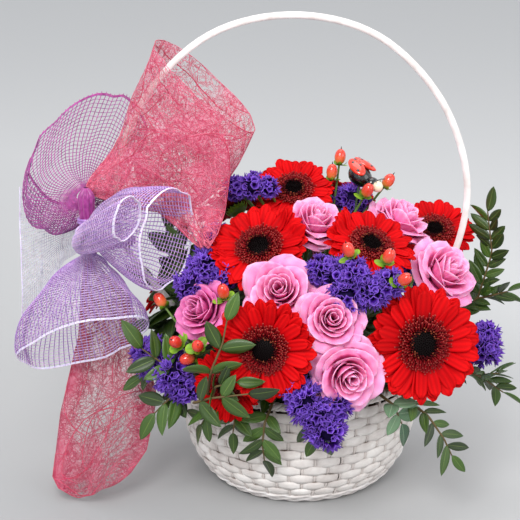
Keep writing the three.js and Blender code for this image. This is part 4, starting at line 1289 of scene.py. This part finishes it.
# %% Sprigs between the blooms
SPRIGS = {  # the places that a stem goes through, the way its leaves spread, and a leaf's length and width
    "left_high": ([(-44, -50, 108), (-96, -104, 136), (-124, -112, 152), (-142, -112, 166)],
                  (0.3, 0.5, 0.8), (30, 12)),
    "left_low": ([(-46, -48, 106), (-92, -98, 122), (-118, -110, 118), (-132, -112, 104)],
                 (0.4, 0.4, 0.8), (28, 11)),
    "over_bloom": ([(-40, -60, 108), (-84, -128, 130), (-80, -157, 163), (-70, -156, 188), (-66, -152, 208)],
                   (0.9, 0, 0.3), (30, 12)),
    "over_petal": ([(-40, -62, 108), (-80, -130, 128), (-76, -158, 150), (-58, -162, 156)],
                   (0.2, 0, 0.9), (24, 9)),
    "low_front": ([(-2, -60, 106), (-2, -124, 120), (4, -146, 110), (12, -142, 92), (20, -136, 82)],
                  (0.9, 0, 0.2), (24, 10)),
    "over_low": ([(-44, -60, 108), (-84, -124, 122), (-96, -150, 131), (-80, -162, 141), (-48, -169, 148)],
                 (0.2, 0, 0.9), (28, 12)),
    "rim_left": ([(-30, -56, 106), (-72, -112, 122), (-82, -124, 112), (-90, -118, 96)],
                 (0.7, -0.6, 0.1), (24, 9)),
    "rim_middle": ([(-26, -58, 106), (-54, -122, 120), (-60, -132, 108), (-62, -128, 92)],
                   (0.9, 0, 0.1), (24, 9)),
    "behind_bow_high": ([(-50, -10, 108), (-90, -6, 150), (-112, -4, 196), (-122, -2, 238)],
                        (0.5, 0.6, 0.2), (32, 15)),
    "behind_bow": ([(-46, -30, 108), (-88, -34, 150), (-106, -36, 190), (-112, -34, 222)],
                   (0.6, -0.5, 0.2), (32, 15)),
    "behind_bow_low": ([(-50, 6, 108), (-96, 12, 140), (-124, 8, 166), (-138, 4, 184)],
                       (0.2, 0.8, 0.3), (32, 15)),
    "rim_right": ([(34, -54, 106), (66, -112, 124), (80, -126, 118), (88, -122, 98)],
                  (0.8, 0.5, 0), (26, 13)),
}
for seed, (name, (places, spread, size)) in enumerate(SPRIGS.items()):
    every = 24 if "over" in name else 15
    spray_of_leaves(name, dict(leaf=size, stems=[(places, spread)], every=every, first=0.45), seed + 51,
                    skin=sage_leaf if name == "rim_right" else leaf_skin)
print("sprigs", len(SPRIGS))

# %% [markdown]
# Upright sprigs between the stems close the view into the heart of the arrangement, as the florist's
# own filler does. They lean outwards at even turns, with a little chance in height and reach.

# %% Upright filler
FILLERS = 26

upright = []
filler_chance = random.Random(17)
for i in range(FILLERS):
    turn = GOLDEN * i
    reach = 34 + 62 * math.sqrt((i + 0.5) / FILLERS)
    top = 214 - 0.4 * reach + filler_chance.uniform(-14, 6)
    base, tip = polar(0.5 * reach, turn, 106), polar(reach, turn + filler_chance.uniform(-0.2, 0.2), top)
    upright.append(([tuple(base), tuple(base.lerp(tip, 0.4) + Vector((0, 0, 6))), tuple(tip)],
                    tuple(polar(1, turn + math.pi / 2, filler_chance.uniform(-0.4, 0.4)))))
spray_of_leaves("inner", dict(leaf=(27, 12), stems=upright, every=23, first=0.3), 90)
print("upright fillers", FILLERS)

# %% [markdown]
# Broad leaves on stalks, kept to darker tones as painted shade, make a dark dome under the blooms, and three
# rows of single leaves are tucked in over the foam, from the rim upwards. Both are random within limits,
# because no two lie alike.


# %% Leaves over the foam
def tucked_leaves(name, count, low, high, reach, size, skin, seed):
    """Leaves that start on the foam between two heights and lean outwards over the rim."""
    bm = bmesh.new()
    chance = random.Random(seed)
    for i in range(count):
        turn = 2 * math.pi * (i + chance.uniform(-0.3, 0.3)) / count
        z = chance.uniform(low, high)
        out = reach * (1 - 0.45 * smoothstep(116, 142, z))
        lift = math.radians(chance.uniform(-4, 46))
        way = polar(math.cos(lift), turn + chance.uniform(-0.5, 0.5), math.sin(lift))
        up = polar(-math.sin(lift), turn, math.cos(lift)) + Vector((chance.uniform(-0.3, 0.3), 0, 0))
        long = size * chance.uniform(0.75, 1.2)
        leaf(bm, leaf_pose(polar(out, turn, z), way, up), long, long * chance.uniform(0.34, 0.46),
             droop=chance.uniform(0.1, 0.35), tone=chance.random(), twist=chance.uniform(-0.4, 0.4))
    finished(name, bm, [skin], 0.4)


def stalked_leaves(count, seed):
    """Broad leaves on stalks that stand in the foam and make a dark dome under the blooms, darker as painted
    shade.
    """
    leaves, stalks = bmesh.new(), bmesh.new()
    chance = random.Random(seed)
    lines = []
    for i in range(count):
        turn, out = GOLDEN * i, 26 + 84 * math.sqrt((i + 0.5) / count)
        behind_bow = i % 6 == 5
        if behind_bow:
            turn, out = chance.uniform(2.9, 3.6), chance.uniform(96, 130)
        z = 214 - 0.0062 * out * out + chance.uniform(-16, 4) + (40 if behind_bow else 0)
        base = polar(out, turn, z)
        up = polar(0.012 * out, turn, 1.0).normalized()
        way = polar(1, turn + chance.uniform(-1.3, 1.3), chance.uniform(-0.3, 0.35))
        long = chance.uniform(32, 46)
        # Their tone is kept to the darker part of the leaf's range: painted shade under the blooms.
        leaf(leaves, leaf_pose(base, way, up), long, long * chance.uniform(0.45, 0.6),
             droop=chance.uniform(0.1, 0.3), tone=0.6 * chance.random(), twist=chance.uniform(-0.4, 0.4))
        foot = polar(0.5 * out, turn, 112)
        lines.append([foot, base.lerp(foot, 0.4), base])
    strands(stalks, lines, 0.9, sides=0)
    finished("broad_leaf_stalks", stalks, [stem_skin])
    finished("broad_leaves", leaves, [leaf_skin], 0.4)


STALKED = 100
TUCKED_ROWS = {
    # leaves, lowest, highest, reach, length, material, seed
    "rim_leaves": (46, 108, 120, 88, 42, leaf_skin, 5),
    "shoulder_leaves": (40, 122, 134, 86, 46, leaf_skin, 6),
    "top_leaves": (30, 134, 141, 84, 48, sage_leaf, 7),
}
stalked_leaves(STALKED, 23)
for name, row in TUCKED_ROWS.items():
    tucked_leaves(name, *row)
print("leaves over the foam", STALKED + sum(row[0] for row in TUCKED_ROWS.values()))

# %% [markdown]
# ## Ladybird pick
# A lacquered wooden ladybird on a wire: two red wing cases with black spots, held a little open over a
# black body, and a cream bead between the feelers.

# %% Ladybird
LADYBIRD = dict(at=(56, 22, 286), facing=(-40, 62))
WING_CASE = (6.6, 12, 3.2)  # half axes
SPOT = (1.7, 1.9, 0.8)
SPOT_PLACES = ((-2.4, -6), (2.6, -1), (-1.6, 4.5), (2.2, 7.6))


def ladybird():
    """The black body, the cream head, two spotted wing cases, the feelers and the wire."""
    pose = head_pose(LADYBIRD)
    red, black = bmesh.new(), bmesh.new()
    ball(black, pose, (10.5, 12.5, 9.5), 0, 20, 12)
    ball(black, pose @ Matrix.Translation((0, -14.5, 2.5)), (6.6, 5.8, 5.8), 0, 16, 10)
    ball(black, pose @ Matrix.Translation((0, -21, 3.5)), (5.4, 5.2, 5.2), 1, 18, 12)
    for side in (-1, 1):
        turn = (Matrix.Translation((side * 6.6, 4, 9.4)) @ Matrix.Rotation(side * 0.3, 4, "Z")
                @ Matrix.Rotation(side * 0.35, 4, "Y"))
        ball(red, pose @ turn, WING_CASE, 0, 20, 12)
        for x, y in SPOT_PLACES:
            height = WING_CASE[2] * math.sqrt(max(0, 1 - (x / WING_CASE[0]) ** 2 - (y / WING_CASE[1]) ** 2))
            ball(black, pose @ turn @ Matrix.Translation((x, y, height - 0.5)), SPOT, 0, 10, 6)
        feeler = [pose @ Vector((side * x, y, z)) for x, y, z in ((2, -16, 6), (4, -19, 10), (7, -21, 11))]
        strands(black, [feeler], 0.5)
    wire = [Vector((14, 6, FOAM_FOOT)), Vector((34, -4, 160)), Vector((48, 8, 230)), Vector(LADYBIRD["at"])]
    strands(black, [wire], 1.0, 2)
    finished("ladybird_body", black, [ladybird_black, ladybird_cream, pick_wire], 0,
             ["ladybird_pick"])
    finished("ladybird_wing_cases", red, [ladybird_red])


ladybird()
print("ladybird with", 2 * len(SPOT_PLACES), "spots")

# %% [markdown]
# ## Bow
# The knot is the bunched middle of the ribbons: many folds side by side, bound by two turns of cord
# that also go round the handle. It is one blade bent right round, with the folds in its radius.

# %% Tie
TIE = dict(x=-197, y=-18, low=206, high=286, radius=8)
TIE_FOLDS = 11
CORD_HEIGHTS = (254, 228)
CORD_RADIUS = 1.4
CORD_STEP = 2.6  # from the first turn of a cord up to its second


def knot():
    """The gathered ribbon and its cords."""
    bm = bmesh.new()

    def fold(across, along):
        turn = math.pi * across
        z = TIE["low"] + (TIE["high"] - TIE["low"]) * along
        waist = 0.78 + 0.22 * abs(2 * along - 1) ** 2  # drawn in by the cords
        end = min(1.0, 0.05 + 9 * min(along, 1 - along)) ** 0.5  # and closed at both ends
        out = TIE["radius"] * waist * end * (1 + 0.12 * math.sin(TIE_FOLDS * turn + 3 * along))
        return Vector((TIE["x"], TIE["y"], z)) + polar(out, turn)
    blade(bm, 6 * TIE_FOLDS, 22, fold)
    bmesh.ops.remove_doubles(bm, verts=bm.verts, dist=0.01)
    for height in CORD_HEIGHTS:
        leg = min(handle_line[:60], key=lambda place: abs(place.z - height))
        apart = Vector((leg.x - TIE["x"], leg.y - TIE["y"], 0))
        middle = Vector(((leg.x + TIE["x"]) / 2, (leg.y + TIE["y"]) / 2, height))
        # each turn goes round the knot and the handle's leg together
        long, wide = apart.length / 2 + HANDLE_RADIUS + 5.4, HANDLE_RADIUS + 8
        side = Vector((-apart.y, apart.x, 0)).normalized()
        ring = [middle + apart.normalized() * long * math.cos(turn) + side * wide * math.sin(turn)
                for turn in (2 * math.pi * i / 40 for i in range(40))]
        above = [place + Vector((0, 0, CORD_STEP)) for place in ring]
        strands(bm, [ring, above], CORD_RADIUS, 1, sides=2, closed=True)
    finished("bow_knot", bm, [magenta_thread, lilac_thread], 0, ["bow_tie"])


knot()
print("knot with", TIE_FOLDS, "folds and", len(CORD_HEIGHTS), "cords")

# %% [markdown]
# Each loop of mesh starts as a tight gather at the knot and opens like a trumpet. The gather throws
# folds along the ribbon, deep near the knot and shallow at the mouth. The threads themselves are laid
# on that shape: the warp runs with the folds, the weft goes round, and close threads edge it, which
# are white on the lilac loops.

# %% Loop surfaces
# A loop is given by the middles of its gather and of its mouth, by two half axes of the mouth, and by how
# far it swings out half way.
LOOPS = {
    "magenta_loop": dict(start=(-201, -13, 278), end=(-198, 29, 312), across=(51, 18, 6), deep=(9, 20, 45),
                         belly=(-11, -8, -17)),
    "lilac_upper_loop": dict(start=(-193, -24, 254), end=(-120, -72, 256), across=(-22, -34, 2),
                             deep=(4, -4, 49), belly=(0, -8, 4)),
    "lilac_small_loop": dict(start=(-200, -25, 240), end=(-150, -126, 290), across=(-10, -12, 2),
                             deep=(4, -8, 22), belly=(-16, -14, -4)),
    "lilac_lower_loop": dict(start=(-199, -24, 222), end=(-200, -54, 148), across=(60, -8, 22),
                             deep=(8, 24, -26), belly=(-4, -14, 6)),
    "coral_sleeve": dict(start=(-192, -12, 280), end=(-88, 0, 378), across=(47, 0, -42), deep=(3, 30, 6),
                         belly=(12, 5, -30)),
}


def loop_place(loop, share, turn, folds, depth, seed):
    """A place on a loop, with folds that run from the gather to the mouth."""
    middle = Vector(loop["start"]).lerp(Vector(loop["end"]), share)
    middle += math.sin(math.pi * min(1.0, share)) * Vector(loop["belly"])
    wide = 0.1 + 0.9 * math.sin(math.pi / 2 * min(1.0, share)) ** 0.8  # a tenth of its mouth at the gather
    drift = noise.noise(Vector((math.cos(turn), math.sin(turn), seed + 1.5 * share)))
    fold = math.sin(folds * turn + 5 * drift + seed) * (1 - 0.45 * share)
    wide *= 1 + depth * (fold + 0.8 * drift * share)
    return middle + wide * (math.cos(turn) * Vector(loop["across"]) + math.sin(turn) * Vector(loop["deep"]))


def cut_size(place):
    """Width and length, in millimetres, of the flat cloth that a place(across, along) was made from."""
    width = max(line_length([place(i / 200, j / 4) for i in range(201)]) for j in range(5))
    lengths = [line_length([place(i / 12, j / 30) for j in range(31)]) for i in range(12)]
    return width, max(lengths)


# %% Net of threads
PITCH = 3.6  # from one thread to the next
THREAD = 0.43  # radius
HEM_THREADS = 3
HEM_STEP = 0.007  # between the threads of a hem, as a share of the length


def thread_net(name, place, finishes, closed=True, pitch=PITCH, thread=THREAD, fringe=0.0):
    """Threads on place(across, along), warp along it and weft across it, one pitch apart at its widest.

    finishes are those of the warp, the weft and the hem. fringe is how far the warp runs past the hem."""
    bm = bmesh.new()
    width, length = cut_size(place)
    around, along = round((0.85 if closed else 1.0) * width / pitch), round(length / pitch)
    steps = max(14, along)
    warp = [[place(i / around, j / steps) for j in range(steps + 1)] for i in range(around + (not closed))]
    ring = max(24, around // 2)
    weft = [[place(i / ring, (j + 0.5) / along) for i in range(ring + (not closed))] for j in range(along)]
    strands(bm, warp, thread, sides=0)
    strands(bm, weft, thread * 0.9, 1, sides=0, closed=closed)
    if fringe:
        ends = [i / around + 0.002 * math.sin(7 * i) for i in range(around)]
        strands(bm, [[place(end, 0.99), place(end, 1.0 + fringe)] for end in ends], thread * 0.8, sides=0)
    hem = [[place(i / ring, 1.0 - HEM_STEP * k) for i in range(ring + (not closed))]
           for k in range(HEM_THREADS)]
    strands(bm, hem, thread * 1.15, 2, sides=0, closed=closed)
    net = finished(name, bm, finishes, 0, [f"mesh_{name}"])
    print(name, around, "warp threads,", along, "weft threads")


# %% Mesh loops
def on_loop(name, folds, depth, seed):
    """The rule that puts a share across and a share along on a loop."""
    return lambda across, share: loop_place(LOOPS[name], share, 2 * math.pi * across, folds, depth, seed)


def mesh_loop(name, finishes, folds, depth, seed, fringe=0.0):
    """A loop of mesh, with a number of folds and how deep they are at the gather."""
    thread_net(name, on_loop(name, folds, depth, seed), finishes, fringe=fringe)


mesh_loop("magenta_loop", [magenta_thread, magenta_weft, magenta_thread], 7, 0.06, 1.0, fringe=0.03)
mesh_loop("lilac_upper_loop", [lilac_thread, lilac_weft, white_edge], 6, 0.09, 2.0)
mesh_loop("lilac_small_loop", [lilac_thread, lilac_weft, white_edge], 4, 0.09, 3.0)
mesh_loop("lilac_lower_loop", [lilac_thread, lilac_weft, white_edge], 6, 0.1, 4.0)

# %% [markdown]
# A tail is a strip through a row of stations, each with the place of its middle and half its width. It
# ripples across its width, more towards the free end. The lilac one is sheer, so its threads are thinner.

# %% Tails
TAILS = {
    "lilac_tail": dict(wave=4, stations=[
        ((-199, -16, 236), (0, 0, 8)), ((-226, 30, 226), (0, 4, 26)),
        ((-248, 36, 214), (2, 4, 52)), ((-268, 30, 206), (2, 2, 66))]),
    "coral_tail": dict(wave=7, rounded=0.09, stations=[
        ((-197, -16, 214), (5, 0, 0)), ((-186, 4, 176), (22, 0, -2)), ((-180, 0, 128), (32, 0, -6)),
        ((-182, -34, 76), (46, 0, 8)), ((-188, -72, 34), (44, 0, 14)), ((-194, -92, 12), (26, 0, 4))]),
    "coral_apron": dict(wave=3, stations=[
        ((-110, -28, 338), (44, -16, 6)), ((-109, -30, 304), (44, -16, 4)), ((-108, -32, 274), (38, -16, 0)),
        ((-96, -50, 257), (20, -12, 0)), ((-89, -70, 246), (6, -4, 0))]),
}


def tail_place(tail, across, along, ripples):
    """A place on a tail. Across runs from 0 to 1 and along from the knot to the free end."""
    stations = tail["stations"]
    side = 2 * across - 1
    # the corners of a rounded tail end sooner than its middle
    along *= 1 - tail.get("rounded", 0.0) * abs(side) ** 3 * along ** 4
    spot = min(max(along, 0.0), 1.0) * (len(stations) - 1)
    i = min(int(spot), len(stations) - 2)
    share = smoothstep(0, 1, spot - i) * 0.4 + (spot - i) * 0.6
    middle = Vector(stations[i][0]).lerp(Vector(stations[i + 1][0]), share)
    half = Vector(stations[i][1]).lerp(Vector(stations[i + 1][1]), share)
    # the ripples stand out square to the strip
    normal = (Vector(stations[i + 1][0]) - Vector(stations[i][0])).cross(half).normalized()
    wave = tail["wave"] * along * math.sin(math.pi * side) + ripples * math.sin(9 * side + 4 * along)
    return middle + side * half + wave * normal


def on_tail(name, ripples):
    """The rule that puts a share across and a share along on a tail."""
    return lambda across, along: tail_place(TAILS[name], across, along, ripples)


thread_net("lilac_tail", on_tail("lilac_tail", 1.2), [sheer_thread, sheer_thread, white_edge], closed=False,
           pitch=4.0, thread=0.36)

# %% [markdown]
# The coral web is a veil with fibres on it. The veil is a thin sheet with a see-through material, and
# the thicker fibres are strands that wander over it, so that its edge looks torn and not cut. A piece
# that is gathered gets the paler colours, and the tail that hangs free gets deeper ones.

# %% Area of a cloth
AREA_COLUMNS, AREA_ROWS = 48, 24


def cloth_area(place):
    """The area of place(across, along), from the sizes of small cells."""
    area = 0.0
    for cell in range(AREA_COLUMNS * AREA_ROWS):
        u, v = cell % AREA_COLUMNS / AREA_COLUMNS, cell // AREA_COLUMNS / AREA_ROWS
        here = place(u, v)
        area += (place(u + 1 / AREA_COLUMNS, v) - here).cross(place(u, v + 1 / AREA_ROWS) - here).length
    return area


# %% Fibres that wander
FIBRE_STEP = 6


def wandering_line(place, size, start, steps, closed, chance):
    """A line of steps over place(across, along), which starts somewhere and keeps turning a little."""
    across, along, heading = start
    curl = chance.uniform(-0.3, 0.3) * 12 / steps
    line = []
    for _ in range(steps):
        line.append(place(across, along))
        across += FIBRE_STEP / size[0] * math.cos(heading)
        along += FIBRE_STEP / size[1] * math.sin(heading)
        heading += curl + chance.uniform(-0.3, 0.3)
        across = across % 1 if closed else min(1.0, max(0.0, across))
        along = min(1.0, max(0.0, along))
    return line


# %% Web of fibres
FIBRE, BUNDLE = 0.24, 0.5  # radii of a fibre and of a bundle of them


def web(name, place, columns, rows, count, closed, held, node, seed):
    """A veil and its fibres on place(across, along)."""
    skin, fibre = (coral_veil, coral_fibre) if held == "gathered" else (coral_strip_veil, deep_fibre)
    width, length = cut_size(place)
    bm = bmesh.new()
    blade(bm, columns, rows, lambda across, along: place((across + 1) / 2, along))
    if closed:
        bmesh.ops.remove_doubles(bm, verts=bm.verts, dist=0.01)
    veil = finished(f"{name}_veil", bm, [skin], 0.35, [node] if node else [])
    chance = random.Random(seed)
    bm = bmesh.new()
    for slot, (thick, amount, steps) in enumerate(((FIBRE, count, 12), (BUNDLE, count // 14, 20))):
        lines = []
        while len(lines) < amount:
            across, along, heading = chance.random(), chance.random(), chance.random() * 6.28
            if noise.noise(Vector((5 * across, 4 * along, seed))) < chance.uniform(-0.45, 0.3):
                continue  # the fibres lie in drifts, with thin places between them
            start = (across, along, heading)
            lines.append(wandering_line(place, (width, length), start, steps, closed, chance))
        strands(bm, lines, thick, slot, sides=0)
    fibres = finished(f"{name}_fibres", bm, [fibre, coral_bundle])
    area = cloth_area(place)
    print(name, "web", round(width), "x", round(length), "mm")


web("coral_sleeve", on_loop("coral_sleeve", 5, 0.08, 5.0), 72, 26, 350, True, "gathered",
    "coral_web_sleeve", 8)
web("coral_apron", on_tail("coral_apron", 2.0), 26, 30, 170, False, "gathered", None, 10)
web("coral_tail", on_tail("coral_tail", 2.0), 30, 48, 320, False, "hung", "coral_web_tail", 9)

# %% [markdown]
# ## Floor
# A sheet of pale studio paper, large enough to fill the picture. It is a little darker towards the front
# and the left, where the lamps are near, so the tone stays even over the whole floor.

# %% Studio floor
FLOOR_HALF = 6.0  # metres
FLOOR_DROP = 0.5 * MM  # so the foot and the floor don't share a plane

paper = new_material("matt studio floor", Roughness=0.75)
axes = add(paper, "SeparateXYZ", {0: add(paper, "TexCoord", {}, "Object")}).node.outputs
slanting = add(paper, "Math", {0: axes["X"], 1: 0.8, 2: axes["Y"]}, operation="MULTIPLY_ADD")
to_the_back = add(paper, "MapRange", {0: slanting, 1: -0.4, 2: 0.8})
add(paper, "Mix", {0: to_the_back, 6: "#a3a3a3", 7: "#c4c4c4"}, to="Base Color", **COLOURS)

floor_bm = bmesh.new()
bmesh.ops.create_grid(floor_bm, x_segments=8, y_segments=8, size=FLOOR_HALF)
bmesh.ops.translate(floor_bm, vec=(0, 0, -FLOOR_DROP), verts=floor_bm.verts)
floor_mesh = bpy.data.meshes.new("floor")
floor_bm.to_mesh(floor_mesh)
floor_bm.free()
floor_mesh.materials.append(paper)
floor = bpy.data.objects.new("floor", floor_mesh)
bpy.context.scene.collection.objects.link(floor)
print("floor", tuple(floor.dimensions))

# %% [markdown]
# ## Finish
# The dressed model must fill the same box as the solid one. At the end the view layer is brought up to date.

# %% Finish
bpy.context.view_layer.update()
